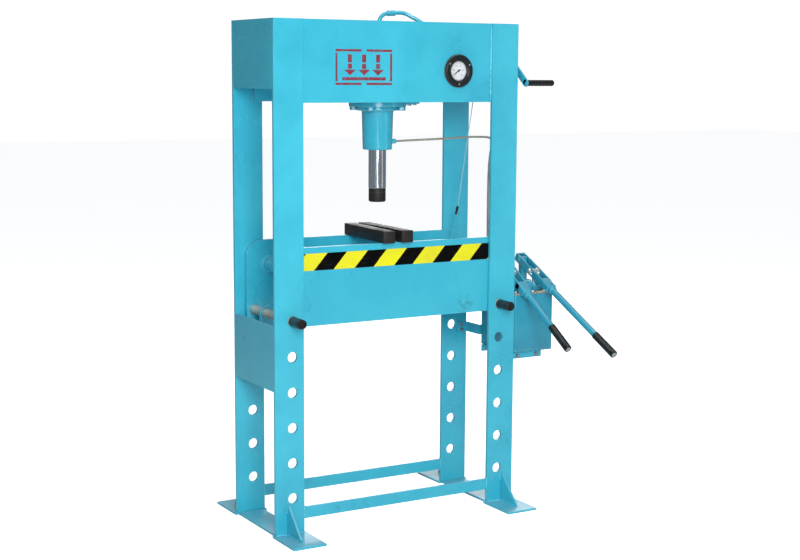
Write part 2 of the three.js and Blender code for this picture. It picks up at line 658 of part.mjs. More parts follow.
// A lever is built along -Y from its pivot and then lowered about it.
function makeLever({ name, x, pivotZ, endY, endZ }) {
  const run = PUMP.pivotY - endY;
  const drop = pivotZ - endZ;
  const length = Math.hypot(run, drop);
  const slope = Math.atan2(drop, run);
  const place = (geometry) => geometry.rotateX(slope).translate(x, PUMP.pivotY, pivotZ);
  const h = FORK.height / 2;
  const gap = FORK.half - FORK.plate;
  const cheeks = [
    box(-FORK.half, -gap, -FORK.length, 22, -h, h),
    box(gap, FORK.half, -FORK.length, 22, -h, h),
  ];
  const web = box(-FORK.half, FORK.half, 20, 26, -h + 4, h);
  const socket = box(-FORK.half, FORK.half, -FORK.socketEnd, -FORK.length + 24, -h + 2, h - 2);
  const tube = bar(FORK.tube, [0, -FORK.socketEnd + 20, 0], [0, -length + 6, 0]);
  const pivot = bar(6, [-FORK.half - 6, 0, 0], [FORK.half + 6, 0, 0]);
  const slotTools = [-1, 1].map((side) => {
    const [x0, x1] = span(side * (gap - 1), side * (FORK.half + 1));
    return box(x0, x1, -100, -69, -9.6, 9.6);
  });
  const body = cut(join(...cheeks, web, socket, tube, pivot), ...slotTools);
  add(`lever_${name}`, place(body), MATERIALS.enamel);

  const gripProfile = [
    [FORK.tube + GAP, -LEVER_GRIP.length],
    [LEVER_GRIP.radius, -LEVER_GRIP.length],
    [LEVER_GRIP.radius, 0],
    [LEVER_GRIP.radius - 3, 4],
    [0, 4],
    [0, -5.6],
    [FORK.tube + GAP, -5.6],
    [FORK.tube + GAP, -LEVER_GRIP.length],
  ];
  const grip = turned(gripProfile, ROUND).rotateX(Math.PI / 2).translate(0, -length, 0);
  add(`lever_grip_${name}`, place(grip), MATERIALS.black);

  const eyeZ = pivotZ - (PUMP.pivotY - PUMP.plungerY) * Math.tan(slope);
  const y = PUMP.plungerY;
  const plunger = join(
    bar(PLUNGER.rod, [x, y, PLUNGER.barrelBottom + 13], [x, y, eyeZ]),
    box(x - 10, x + 10, y - 10, y + 10, eyeZ - 9, eyeZ + 9),
    bar(PLUNGER.pin, [x - FORK.half - 5, y, eyeZ], [x + FORK.half + 5, y, eyeZ], 16),
  );
  add(`plunger_${name}`, plunger, MATERIALS.steel);
  return endY - Math.sin(slope) * LEVER_GRIP.radius - 4 * Math.cos(slope);
}

// ---------------------------------------------------------------- assembly
makeUprights();
makeBeam();
makeBase();
makeCylinder();
makeGauge();
makeLines();
makeWinch();
makeRope();
makeTable();
makePins();
makeTank();
makePumpBody();
EXTENT.front = Math.min(...LEVERS.map(makeLever));
press.position.set(-(EXTENT.left + EXTENT.right) / 2, -(EXTENT.front + EXTENT.back) / 2, 0);

export default press;
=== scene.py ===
"""A two-column hydraulic shop press, dressed for a plain studio.

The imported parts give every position. Lengths in this file are millimetres in the press's own
frame (X to the right, Y to the back, Z up from the floor, middle between the columns), and
``at`` turns them into metres in the shared frame.
"""

import logging
import math
from dataclasses import dataclass, field
from enum import Enum
from typing import Callable, Iterable, Optional, Sequence

import bmesh
import bpy
from mathutils import Matrix, Vector


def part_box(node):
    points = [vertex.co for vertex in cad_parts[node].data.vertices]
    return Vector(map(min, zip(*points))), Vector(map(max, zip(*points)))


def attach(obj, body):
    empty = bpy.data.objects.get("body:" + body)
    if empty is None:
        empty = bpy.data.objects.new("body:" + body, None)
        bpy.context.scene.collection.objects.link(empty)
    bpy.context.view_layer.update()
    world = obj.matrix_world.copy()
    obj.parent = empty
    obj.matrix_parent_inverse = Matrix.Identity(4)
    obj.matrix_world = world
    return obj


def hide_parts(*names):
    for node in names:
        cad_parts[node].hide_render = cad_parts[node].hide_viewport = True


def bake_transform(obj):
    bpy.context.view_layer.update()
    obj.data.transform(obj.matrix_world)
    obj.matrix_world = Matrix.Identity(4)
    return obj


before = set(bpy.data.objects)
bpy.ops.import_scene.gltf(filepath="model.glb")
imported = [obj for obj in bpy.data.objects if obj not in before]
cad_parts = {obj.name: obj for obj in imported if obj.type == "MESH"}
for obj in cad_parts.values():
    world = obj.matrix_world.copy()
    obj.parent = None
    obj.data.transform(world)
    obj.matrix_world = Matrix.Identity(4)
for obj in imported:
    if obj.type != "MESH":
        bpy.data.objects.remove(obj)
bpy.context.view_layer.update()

LOG = logging.getLogger("press")
MM = 0.001
Triple = tuple[float, float, float]
Colour = tuple[float, float, float]
WHITE = (1.0, 1.0, 1.0, 1.0)
Given = object  # a number, a tuple, a setting or a socket
Piece = bpy.types.Object
Tree = bpy.types.NodeTree
Socket = bpy.types.NodeSocket
Material = bpy.types.Material


def middle() -> Vector:
    """Find the point on the floor between the four columns, in metres."""
    low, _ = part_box("upright_front_left")
    _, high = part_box("upright_back_right")
    return Vector(((low.x + high.x) / 2, (low.y + high.y) / 2, 0.0))


MIDDLE = middle()


def at(x: float, y: float, z: float) -> Vector:
    """Turn a press-frame point in millimetres into shared-frame metres."""
    return MIDDLE + Vector((x, y, z)) * MM


class Axis(Enum):
    """The directions that pieces are turned or laid along."""

    X = (1.0, 0.0, 0.0)
    Y = (0.0, 1.0, 0.0)
    Z = (0.0, 0.0, 1.0)
    FRONT = (0.0, -1.0, 0.0)
    DOWN = (0.0, 0.0, -1.0)

    @property
    def vector(self) -> Vector:
        """Give the direction as a vector."""
        return Vector(self.value)


# ------------------------------------------------------------------ making meshes
def clear() -> None:
    """Leave edit mode and deselect everything."""
    active = bpy.context.view_layer.objects.active
    if active is not None and active.mode != "OBJECT":
        bpy.ops.object.mode_set(mode="OBJECT")
    bpy.ops.object.select_all(action="DESELECT")


def hold(piece: Piece) -> None:
    """Make one piece the only selected and active one."""
    clear()
    piece.select_set(True)
    bpy.context.view_layer.objects.active = piece


def settle(piece: Piece) -> Piece:
    """Apply a piece's place, turn and size to its mesh."""
    hold(piece)
    bpy.ops.object.transform_apply(location=True, rotation=True, scale=True)
    return piece


def named(name: str) -> Piece:
    """Name the piece that was just added and settle it."""
    piece = bpy.context.object
    piece.name = name
    piece.data.name = name
    return settle(piece)


def block(name: str, low: Triple, high: Triple) -> Piece:
    """Start a rectangular piece.

    Args:
        name: the piece's name.
        low: its lowest corner, in press millimetres.
        high: its highest corner.

    Returns:
        The new piece.
    """
    clear()
    bottom, top = at(*low), at(*high)
    bpy.ops.mesh.primitive_cube_add(size=1.0, location=(bottom + top) / 2, scale=top - bottom)
    return named(name)


def turned(
    name: str,
    origin: Triple,
    axis: Vector,
    profile: Sequence[tuple[float, float]],
    sides: int = 64,
    hollow: bool = False,
) -> Piece:
    """Turn a piece by drawing a ring out along an axis.

    Args:
        name: the piece's name.
        origin: where the axis starts, in press millimetres.
        axis: the direction of the axis.
        profile: radius and distance pairs along the axis, in millimetres.
        sides: how many sides the ring has.
        hollow: True for a profile that comes back to its first pair.

    Returns:
        The new piece, closed, with its faces outward.
    """
    clear()
    line = axis.normalized()
    base = at(*origin)
    radius, height = profile[0]
    bpy.ops.mesh.primitive_circle_add(
        vertices=sides,
        radius=radius * MM,
        fill_type="NOTHING" if hollow else "NGON",
        location=base + line * height * MM,
        rotation=line.to_track_quat("Z", "Y").to_euler(),
    )
    piece = named(name)
    bpy.ops.object.mode_set(mode="EDIT")
    bpy.ops.mesh.select_mode(type="VERT")
    bpy.ops.mesh.select_all(action="SELECT")
    for (r0, h0), (r1, h1) in zip(profile, profile[1:]):
        step = line * (h1 - h0) * MM
        bpy.ops.mesh.extrude_region_move(TRANSFORM_OT_translate={"value": step})
        if abs(r1 - r0) > 1e-6:
            ratio = r1 / r0
            bpy.ops.transform.resize(value=(ratio,) * 3, center_override=base + line * h1 * MM)
    return closed(piece)


def closed(piece: Piece) -> Piece:
    """Merge a piece's doubled points and turn its faces outward."""
    hold(piece)
    bpy.ops.object.mode_set(mode="EDIT")
    bpy.ops.mesh.select_all(action="SELECT")
    bpy.ops.mesh.remove_doubles(threshold=1e-6)
    bpy.ops.mesh.normals_make_consistent(inside=False)
    bpy.ops.object.mode_set(mode="OBJECT")
    return piece


def rod(
    name: str, start: Triple, end: Triple, radius: float, sides: int = 32, chamfer: float = 0.0
) -> Piece:
    """Turn a plain rod between two points.

    Args:
        name: the piece's name.
        start: one end, in press millimetres.
        end: the other end.
        radius: the rod's radius.
        sides: how many sides it has; 6 gives a hexagon.
        chamfer: the width of the bevel at both ends.

    Returns:
        The new piece.
    """
    line = Vector(end) - Vector(start)
    length = line.length
    if chamfer:
        profile = [
            (radius - chamfer, 0.0), (radius, chamfer), (radius, length - chamfer),
            (radius - chamfer, length),
        ]
    else:
        profile = [(radius, 0.0), (radius, length)]
    return turned(name, start, line, profile, sides)


def smooth_route(points: Sequence[Triple], per_span: int = 6) -> list[Vector]:
    """Fill a route with points on a smooth curve through the given ones.

    Args:
        points: the route, in press millimetres.
        per_span: how many points each span is given.

    Returns:
        The filled route in metres.
    """
    spots = [at(*p) for p in points]
    ends = [spots[0] * 2 - spots[1], *spots, spots[-1] * 2 - spots[-2]]
    route: list[Vector] = []
    for a, b, c, d in zip(ends, ends[1:], ends[2:], ends[3:]):
        t1 = max((b - a).length, 1e-9) ** 0.5
        t2 = t1 + max((c - b).length, 1e-9) ** 0.5
        t3 = t2 + max((d - c).length, 1e-9) ** 0.5
        for i in range(per_span):
            t = t1 + (t2 - t1) * i / per_span
            ab = a * ((t1 - t) / t1) + b * (t / t1)
            bc = b * ((t2 - t) / (t2 - t1)) + c * ((t - t1) / (t2 - t1))
            cd = c * ((t3 - t) / (t3 - t2)) + d * ((t - t2) / (t3 - t2))
            abc = ab * ((t2 - t) / t2) + bc * (t / t2)
            bcd = bc * ((t3 - t) / (t3 - t1)) + cd * ((t - t1) / (t3 - t1))
            route.append(abc * ((t2 - t) / (t2 - t1)) + bcd * ((t - t1) / (t2 - t1)))
    route.append(spots[-1])
    return route


def tube(
    name: str, route: Sequence[Vector], radius: float, swell: Optional[
        Sequence[float]
    ] = None, turns: int = 3
) -> Piece:
    """Sweep a round section along a route.

    Args:
        name: the piece's name.
        route: points in metres.
        radius: the section's radius, in millimetres.
        swell: a factor on the radius at each point.
        turns: the section's fineness; it has 4 + 2 * turns sides or so.

    Returns:
        The new piece, as a closed mesh.
    """
    clear()
    bpy.ops.curve.primitive_nurbs_path_add()
    curve = bpy.context.object
    curve.name = name
    data = curve.data
    data.splines.clear()
    spline = data.splines.new("POLY")
    spline.points.add(len(route) - 1)
    for i, point in enumerate(route):
        spline.points[i].co = (*point, 1.0)
        spline.points[i].radius = swell[i] if swell else 1.0
    data.dimensions = "3D"
    data.bevel_depth = radius * MM
    data.bevel_resolution = turns
    data.use_fill_caps = True
    bpy.ops.object.convert(target="MESH")
    return closed(named(name))


def soften(
    piece: Piece, width: float, segments: int = 2, angle: float = 30.0
) -> Piece:
    """Round a piece's edges.

    Args:
        piece: the piece.
        width: how wide the rounding is, in millimetres.
        segments: how many strips make it.
        angle: the smallest corner that is rounded, in degrees.

    Returns:
        The same piece.
    """
    hold(piece)
    rounding = piece.modifiers.new("rounding", "BEVEL")
    rounding.width = width * MM
    rounding.segments = segments
    rounding.limit_method = "ANGLE"
    rounding.angle_limit = math.radians(angle)
    bpy.ops.object.modifier_apply(modifier=rounding.name)
    return piece


def rounded(
    name: str, low: Triple, high: Triple, width: float, segments: int = 2
) -> Piece:
    """Start a rectangular piece with rounded edges, as block and soften do."""
    return soften(block(name, low, high), width, segments)


def carve(piece: Piece, *tools: Piece) -> Piece:
    """Cut tools out of a piece and throw the tools away."""
    for tool in tools:
        hold(piece)
        cutting = piece.modifiers.new("cutting", "BOOLEAN")
        cutting.operation = "DIFFERENCE"
        cutting.solver = "EXACT"
        cutting.object = tool
        bpy.ops.object.modifier_apply(modifier=cutting.name)
        bpy.data.objects.remove(tool)
    return piece


def joined(name: str, pieces: Sequence[Piece]) -> Piece:
    """Join pieces of one finish into one named piece."""
    hold(pieces[0])
    for piece in pieces[1:]:
        piece.select_set(True)
    if len(pieces) > 1:
        bpy.ops.object.join()
    pieces[0].name = name
    pieces[0].data.name = name
    return pieces[0]


def moved_copy(piece: Piece, name: str, shift: Triple) -> Piece:
    """Copy a piece, with its own mesh, by a shift in millimetres."""
    hold(piece)
    bpy.ops.object.duplicate(linked=False)
    twin = bpy.context.object
    twin.name = name
    twin.location = Vector(shift) * MM
    return settle(twin)


def swung(piece: Piece, pivot: Triple, axis: Vector, angle: float) -> Piece:
    """Turn a piece about an axis through a pivot, by an angle in radians."""
    spot = at(*pivot)
    there, back = Matrix.Translation(spot), Matrix.Translation(-spot)
    piece.matrix_world = there @ Matrix.Rotation(angle, 4, axis) @ back
    return settle(piece)


def pick_faces(piece: Piece, wanted: Callable[[Vector, Vector], bool]) -> None:
    """Enter edit mode with only some faces selected.

    Args:
        piece: the piece.
        wanted: says yes or no to a face's middle (metres) and normal.
    """
    hold(piece)
    bpy.ops.object.mode_set(mode="EDIT")
    bpy.ops.mesh.select_mode(type="FACE")
    bpy.ops.mesh.select_all(action="DESELECT")
    mesh = bmesh.from_edit_mesh(piece.data)
    for face in mesh.faces:
        face.select_set(wanted(face.calc_center_median(), face.normal))
    bmesh.update_edit_mesh(piece.data)


def bead(name: str, start: Triple, end: Triple, radius: float, seed: int = 0) -> Piece:
    """Lay a rippled weld bead between two points.

    Args:
        name: the piece's name.
        start: where it starts, in press millimetres.
        end: where it ends.
        radius: its mean radius.
        seed: shifts the ripples, so that no two beads match.

    Returns:
        The new piece.
    """
    first, last = at(*start), at(*end)
    length = (last - first).length / MM
    steps = max(6, int(length / 2.2))
    route, swell = [], []
    side = (last - first).normalized().orthogonal()
    for i in range(steps + 1):
        t = i / steps
        wander = 0.16 * math.sin(i * 0.61 + seed * 1.7) + 0.10 * math.sin(i * 0.23 + seed)
        route.append(first.lerp(last, t) + side * wander * radius * MM)
        ripple = 0.86 + 0.20 * abs(math.sin(i * 1.05 + seed)) + 0.07 * math.sin(
            i * 0.37 + seed * 2.1
        )
        taper = min(1.0, 0.35 + 6.0 * min(t, 1.0 - t))
        swell.append(ripple * taper)
    return tube(name, route, radius, swell, turns=2)


def ring_bead(
    name: str, middle_at: Triple, axis: Vector, ring: float, radius: float
) -> Piece:
    """Lay a rippled weld bead round a tube."""
    spot = at(*middle_at)
    across = axis.orthogonal().normalized()
    other = axis.cross(across).normalized()
    count = max(24, int(2 * math.pi * ring / 2.4))
    route, swell = [], []
    for i in range(count + 1):
        turn = 2 * math.pi * i / count
        route.append(spot + (across * math.cos(turn) + other * math.sin(turn)) * ring * MM)
        swell.append(0.85 + 0.22 * abs(math.sin(i * 1.1)))
    return tube(name, route, radius, swell, turns=2)


# ------------------------------------------------------------------ node helpers
def put(
    tree: Tree, kind: str, inputs: Optional[dict] = None, **settings: Given
) -> bpy.types.Node:
    """Add a node, with its settings and its inputs.

    Args:
        tree: the node tree.
        kind: the node's type.
        inputs: socket names or numbers with a value or an output to link.
        settings: the node's own options.

    Returns:
        The new node.
    """
    made = tree.nodes.new(kind)
    for key, value in settings.items():
        setattr(made, key, value)
    for key, value in (inputs or {}).items():
        if isinstance(value, Socket):
            tree.links.new(value, made.inputs[key])
        else:
            made.inputs[key].default_value = value
    return made


def blend_colour(
    tree: Tree, factor: Given, first: Given, second: Given, way: str = "MIX"
) -> Socket:
    """Mix two colours and give the result's socket."""
    mix = put(tree, "ShaderNodeMix", data_type="RGBA", blend_type=way)
    for index, value in ((0, factor), (6, first), (7, second)):
        if isinstance(value, Socket):
            tree.links.new(value, mix.inputs[index])
        else:
            mix.inputs[index].default_value = (*value, 1.0) if isinstance(value, tuple) else value
    return mix.outputs[2]


def spread(
    tree: Tree, value: Given, low: float, high: float, out_low: float, out_high: float
) -> object:
    """Map a value from one range to another and give the socket."""
    inputs = {
        "Value": value, "From Min": low, "From Max": high, "To Min": out_low, "To Max": out_high
    }
    return put(tree, "ShaderNodeMapRange", inputs).outputs["Result"]


def sums(tree: Tree, operation: str, *values: Given) -> Socket:
    """Do one sum on one, two or three values and give the socket."""
    return put(tree, "ShaderNodeMath", dict(enumerate(values)), operation=operation).outputs[0]


def noise(
    tree: Tree, scale: Given, detail: float, place: Given = None, **sockets: float
) -> Socket:
    """Give noise over the object's own coordinates, or over another place."""
    where = object_place(tree) if place is None else place
    inputs = {"Vector": where, "Scale": scale, "Detail": detail, **sockets}
    return put(tree, "ShaderNodeTexNoise", inputs).outputs["Fac"]


def object_place(tree: Tree) -> Socket:
    """Give the object's own coordinates."""
    return put(tree, "ShaderNodeTexCoord").outputs["Object"]


def vector_sum(tree: Tree, operation: str, first: Given, second: Given, out: Given = 0) -> Socket:
    """Do one sum on two vectors and give one of its sockets."""
    made = put(tree, "ShaderNodeVectorMath", {0: first, 1: second}, operation=operation)
    return made.outputs[out]


def bumped(
    tree: Tree, height: Given, strength: float, distance: float, normal: Given = None
) -> Socket:
    """Turn a height into a normal, over another normal if one is given."""
    inputs = {"Strength": strength, "Distance": distance, "Height": height}
    if normal is not None:
        inputs["Normal"] = normal
    return put(tree, "ShaderNodeBump", inputs).outputs[0]


class Effects:
    """The shared effects: an edge mask for edge wear and for painted edge highlights, paint drift,
    long scratches and dust.
    """

    def __init__(self) -> None:
        """Build each group once."""
        self.edges = self._edges()
        self.drift = self._drift()
        self.scratches = self._scratches()
        self.dust = self._dust()

    @staticmethod
    def _group(name: str, ins: dict[str, float], *outs: str) -> tuple:
        """Start a group with its sockets.

        Args:
            name: the group's name.
            ins: float inputs with their defaults.
            outs: the outputs, all floats but the one named Normal.

        Returns:
            The tree, its inputs' sockets and its output node.
        """
        tree = bpy.data.node_groups.new(name, "ShaderNodeTree")
        for label, value in ins.items():
            socket = tree.interface.new_socket(label, in_out="INPUT", socket_type="NodeSocketFloat")
            socket.default_value = value
        for label in outs:
            kind = "NodeSocketVector" if label == "Normal" else "NodeSocketFloat"
            tree.interface.new_socket(label, in_out="OUTPUT", socket_type=kind)
        return tree, put(tree, "NodeGroupInput").outputs, put(tree, "NodeGroupOutput")

    def _edges(self) -> Tree:
        """Find edges within a radius, broken up by noise, and soften the normal there."""
        defaults = {"Radius": 0.0015, "Break up": 0.5, "Scale": 60.0}
        tree, given, out = self._group("edge_highlight_and_wear", defaults, "Edge", "Normal")
        bevel = put(tree, "ShaderNodeBevel", {"Radius": given["Radius"]}, samples=4).outputs[0]
        flat = put(tree, "ShaderNodeNewGeometry").outputs["Normal"]
        agree = vector_sum(tree, "DOT_PRODUCT", bevel, flat, "Value")
        raw = spread(tree, agree, 0.995, 0.80, 0.0, 1.0)
        rough = spread(tree, noise(tree, given["Scale"], 4.0), 0.35, 0.62, 0.0, 1.0)
        keep = sums(tree, "MULTIPLY_ADD", rough, given["Break up"], 1.0)
        broken = sums(tree, "SUBTRACT", keep, given["Break up"])
        tree.links.new(sums(tree, "MULTIPLY", raw, broken), out.inputs["Edge"])
        tree.links.new(bevel, out.inputs["Normal"])
        return tree

    def _drift(self) -> Tree:
        """Give slow clouds and fine orange peel for brushed-on or sprayed paint."""
        defaults = {"Cloud scale": 3.0, "Peel scale": 160.0}
        tree, given, out = self._group("paint_drift", defaults, "Clouds", "Peel")
        clouds = noise(tree, given["Cloud scale"], 5.0, Roughness=0.6)
        tree.links.new(clouds, out.inputs["Clouds"])
        tree.links.new(noise(tree, given["Peel scale"], 3.0), out.inputs["Peel"])
        return tree

    def _scratches(self) -> Tree:
        """Give fine long scratches along one stretched direction."""
        stretches = {f"Stretch {axis}": 1.0 for axis in "XYZ"}
        tree, given, out = self._group("long_scratches", {**stretches, "Scale": 300.0}, "Scratch")
        factors = {i: given[label] for i, label in enumerate(stretches)}
        stretch = put(tree, "ShaderNodeCombineXYZ", factors).outputs[0]
        drawn = vector_sum(tree, "MULTIPLY", object_place(tree), stretch)
        streaks = spread(tree, noise(tree, given["Scale"], 6.0, drawn), 0.35, 0.65, 0.0, 1.0)
        tree.links.new(streaks, out.inputs["Scratch"])
        return tree

    def _dust(self) -> Tree:
        """Gather dust on faces that look up, in drifts."""
        tree, given, out = self._group("settled_dust", {"Amount": 0.5, "Scale": 14.0}, "Dust")
        normal = put(tree, "ShaderNodeNewGeometry").outputs["Normal"]
        up = put(tree, "ShaderNodeSeparateXYZ", {0: normal}).outputs["Z"]
        facing = spread(tree, up, 0.45, 0.95, 0.0, 1.0)
        drifts = spread(tree, noise(tree, given["Scale"], 6.0), 0.3, 0.75, 0.35, 1.0)
        amount = sums(tree, "MULTIPLY", facing, given["Amount"])
        tree.links.new(sums(tree, "MULTIPLY", amount, drifts), out.inputs["Dust"])
        return tree


EFFECTS = Effects()


def effect(tree: Tree, group: Tree, **values: float) -> bpy.types.Node:
    """Place a shared effect in a material with its own values."""
    made = put(tree, "ShaderNodeGroup", node_tree=group)
    for label, value in values.items():
        made.inputs[label.replace("_", " ")].default_value = value
    return made


def paint_drift(
    tree: Tree, cloud_scale: float = 3.0, peel_scale: float = 160.0
) -> tuple:
    """Place the paint drift and give its clouds and its peel."""
    outputs = effect(tree, EFFECTS.drift, Cloud_scale=cloud_scale, Peel_scale=peel_scale).outputs
    return outputs["Clouds"], outputs["Peel"]


def start_material(name: str) -> tuple[Material, Tree, bpy.types.Node]:
    """Start a material and give it, its tree and its shader."""
    material = bpy.data.materials.new(name)
    material.use_nodes = True
    tree = material.node_tree
    return material, tree, tree.nodes["Principled BSDF"]


def feed(tree: Tree, shader: bpy.types.Node, **sockets: Given) -> None:
    """Link or set sockets of the shader; underscores stand for spaces."""
    for label, value in sockets.items():
        socket = shader.inputs[label.replace("_", " ")]
        if isinstance(value, Socket):
            tree.links.new(value, socket)
        else:
            socket.default_value = value


# ------------------------------------------------------------------ finishes
@dataclass(frozen=True)
class Enamel:
    """Glossy cyan machine enamel with soft clouds, a painted highlight along its edges and settled
    dust.
    """

    name: str
    tone: Colour = (0.048, 0.50, 0.655)
    shade: Colour = (0.034, 0.41, 0.565)
    # the edge colour is lighter than the paint: a painted highlight along the edges
    edge_highlight_and_wear_tone: Colour = (0.34, 0.80, 0.90)
    scuff_tone: Colour = (0.02, 0.10, 0.16)
    dust_tone: Colour = (0.50, 0.55, 0.60)
    roughness: float = 0.30
    coat: float = 0.25
    edge_radius: float = 1.6
    edge_highlight_and_wear_amount: float = 0.55
    dust: float = 0.35
    scuffs: float = 0.05

    def make(self) -> Material:
        """Build the material."""
        material, tree, shader = start_material(self.name)
        clouds, peel = paint_drift(tree)
        edges = effect(tree, EFFECTS.edges, Radius=self.edge_radius * MM, Break_up=0.45, Scale=45.0)
        scratch = effect(tree, EFFECTS.scratches, Stretch_Z=0.25, Scale=38.0).outputs["Scratch"]
        dust = effect(tree, EFFECTS.dust, Amount=self.dust, Scale=10.0).outputs["Dust"]
        paint = blend_colour(
            tree, spread(tree, clouds, 0.38, 0.62, 0.0, 1.0), self.shade, self.tone
        )
        marks = spread(tree, scratch, 0.86, 1.0, 0.0, self.scuffs)
        marked = blend_colour(tree, marks, paint, self.scuff_tone)
        # the edge mask lays the lighter edge colour here: painted highlight on the enamel's edges
        worn = sums(tree, "MULTIPLY", edges.outputs["Edge"], self.edge_highlight_and_wear_amount)
        edged = blend_colour(tree, worn, marked, self.edge_highlight_and_wear_tone)
        dusty = blend_colour(tree, dust, edged, self.dust_tone)
        rough = spread(tree, clouds, 0.3, 0.7, self.roughness - 0.06, self.roughness + 0.08)
        duller = sums(tree, "MULTIPLY_ADD", dust, 0.4, rough)
        normal = bumped(tree, peel, 0.12, 0.0006, edges.outputs["Normal"])
        feed(tree, shader, Base_Color=dusty, Roughness=duller, Normal=normal)
        feed(tree, shader, Coat_Weight=self.coat, Coat_Roughness=0.12)
        return material


@dataclass(frozen=True)
class Metal:
    """Bare or plated metal with drawn scratches, stains and worn edges."""

    name: str
    tone: Colour
    stain: Colour
    roughness: float = 0.3
    metallic: float = 1.0
    stain_amount: float = 0.5
    stretch: Triple = (1.0, 1.0, 0.05)
    grain: float = 260.0
    bump: float = 0.15
    edge_highlight_and_wear_tone: Colour = (0.75, 0.75, 0.74)
    edge_highlight_and_wear_amount: float = 0.6
    edge_radius: float = 1.2

    def make(self) -> Material:
        """Build the material."""
        material, tree, shader = start_material(self.name)
        clouds, _ = paint_drift(tree, 22.0, 300.0)
        stretch = {f"Stretch_{axis}": value for axis, value in zip("XYZ", self.stretch)}
        scratch = effect(tree, EFFECTS.scratches, Scale=self.grain, **stretch).outputs["Scratch"]
        edges = effect(tree, EFFECTS.edges, Radius=self.edge_radius * MM, Break_up=0.5, Scale=70.0)
        stains = spread(tree, clouds, 0.40, 0.66, 0.0, self.stain_amount)
        body = blend_colour(tree, stains, self.tone, self.stain)
        worn = sums(tree, "MULTIPLY", edges.outputs["Edge"], self.edge_highlight_and_wear_amount)
        edged = blend_colour(tree, worn, body, self.edge_highlight_and_wear_tone)
        grain = sums(tree, "MULTIPLY_ADD", scratch, 0.16, self.roughness - 0.08)
        rough = sums(tree, "MULTIPLY_ADD", stains, 0.25, grain)
        normal = bumped(tree, scratch, self.bump, 0.0003, edges.outputs["Normal"])
        feed(tree, shader, Base_Color=edged, Roughness=rough, Normal=normal, Metallic=self.metallic)
        return material


@dataclass(frozen=True)
class Moulded:
    """Moulded rubber, plastic or black paint with a fine grain and grey scuffs."""

    name: str
    tone: Colour
    scuff: Colour
    roughness: float = 0.45
    scuff_amount: float = 0.4
    grain: float = 420.0
    bump: float = 0.2
    dust: float = 0.25
    dust_tone: Colour = (0.30, 0.31, 0.33)

    def make(self) -> Material:
        """Build the material."""
        material, tree, shader = start_material(self.name)
        clouds, peel = paint_drift(tree, 30.0, self.grain)
        edges = effect(tree, EFFECTS.edges, Radius=1.0 * MM, Break_up=0.6, Scale=90.0)
        dust = effect(tree, EFFECTS.dust, Amount=self.dust, Scale=30.0).outputs["Dust"]
        patches = spread(tree, clouds, 0.50, 0.75, 0.0, self.scuff_amount)
        worn = sums(tree, "MAXIMUM", patches, sums(tree, "MULTIPLY", edges.outputs["Edge"], 0.5))
        body = blend_colour(tree, worn, self.tone, self.scuff)
        dusty = blend_colour(tree, dust, body, self.dust_tone)
        rough = sums(tree, "MULTIPLY_ADD", worn, 0.25, self.roughness)
        normal = bumped(tree, peel, self.bump, 0.0004, edges.outputs["Normal"])
        feed(tree, shader, Base_Color=dusty, Roughness=rough, Normal=normal)
        return material


@dataclass(frozen=True)
class DialCard:
    """White printed card, a little greyer in places."""

    name: str = "dial_card"
    tone: Colour = (0.90, 0.93, 0.97)
    greyer: Colour = (0.82, 0.85, 0.90)

    def make(self) -> Material:
        """Build the material."""
        material, tree, shader = start_material(self.name)
        clouds, peel = paint_drift(tree, 40.0, 600.0)
        card = blend_colour(tree, spread(tree, clouds, 0.4, 0.7, 0.0, 1.0), self.tone, self.greyer)
        rough = spread(tree, clouds, 0.3, 0.7, 0.45, 0.6)
        feed(
            tree, shader, Base_Color=card, Roughness=rough, Normal=bumped(tree, peel, 0.05, 0.0002)
        )
        return material


@dataclass(frozen=True)
class LensGlass:
    """A clear flat lens with smears that show only in its gloss."""

    name: str = "lens_glass"

    def make(self) -> Material:
        """Build the material."""
        material, tree, shader = start_material(self.name)
        clouds, _ = paint_drift(tree, 60.0, 500.0)
        rough = spread(tree, clouds, 0.4, 0.7, 0.0, 0.08)
        feed(tree, shader, Roughness=rough, Base_Color=WHITE, Transmission_Weight=1.0, IOR=1.2)
        return material


@dataclass(frozen=True)
class HazardTape:
    """Black and yellow slanted stripes with scratches and lifted grime."""

    top: float
    start: float
    name: str = "hazard_tape"
    period: float = 161.0
    black_share: float = 0.478
    slant: float = 0.89

    def make(self) -> Material:
        """Build the material."""
        material, tree, shader = start_material(self.name)
        parts = put(tree, "ShaderNodeSeparateXYZ", {0: object_place(tree)})
        fallen = sums(tree, "SUBTRACT", self.top * MM, parts.outputs["Z"])
        slid = sums(tree, "MULTIPLY_ADD", fallen, self.slant, parts.outputs["X"])
        offset = sums(tree, "SUBTRACT", slid, MIDDLE.x + self.start * MM)
        counted = sums(tree, "DIVIDE", offset, self.period * MM)
        nudged = sums(tree, "MULTIPLY_ADD", noise(tree, 120.0, 3.0), 0.012, counted)
        dark = sums(tree, "LESS_THAN", sums(tree, "FRACT", nudged), self.black_share)
        clouds, peel = paint_drift(tree, 9.0, 220.0)
        grime = spread(tree, clouds, 0.35, 0.7, 0.0, 1.0)
        yellow = blend_colour(tree, grime, (0.80, 0.77, 0.020), (0.70, 0.66, 0.03))
        black = blend_colour(tree, grime, (0.001, 0.001, 0.001), (0.003, 0.003, 0.003))
        stripes = blend_colour(tree, dark, yellow, black)
        scratch = effect(tree, EFFECTS.scratches, Stretch_X=0.15, Scale=180.0).outputs["Scratch"]
        nicks = spread(tree, scratch, 0.94, 1.0, 0.0, 0.08)
        worn = blend_colour(tree, nicks, stripes, (0.16, 0.16, 0.15))
        rough = spread(tree, clouds, 0.3, 0.7, 0.35, 0.55)
        normal = bumped(tree, peel, 0.1, 0.0003)
        feed(tree, shader, Base_Color=worn, Roughness=rough, Normal=normal, Specular_IOR_Level=0.06)
        return material


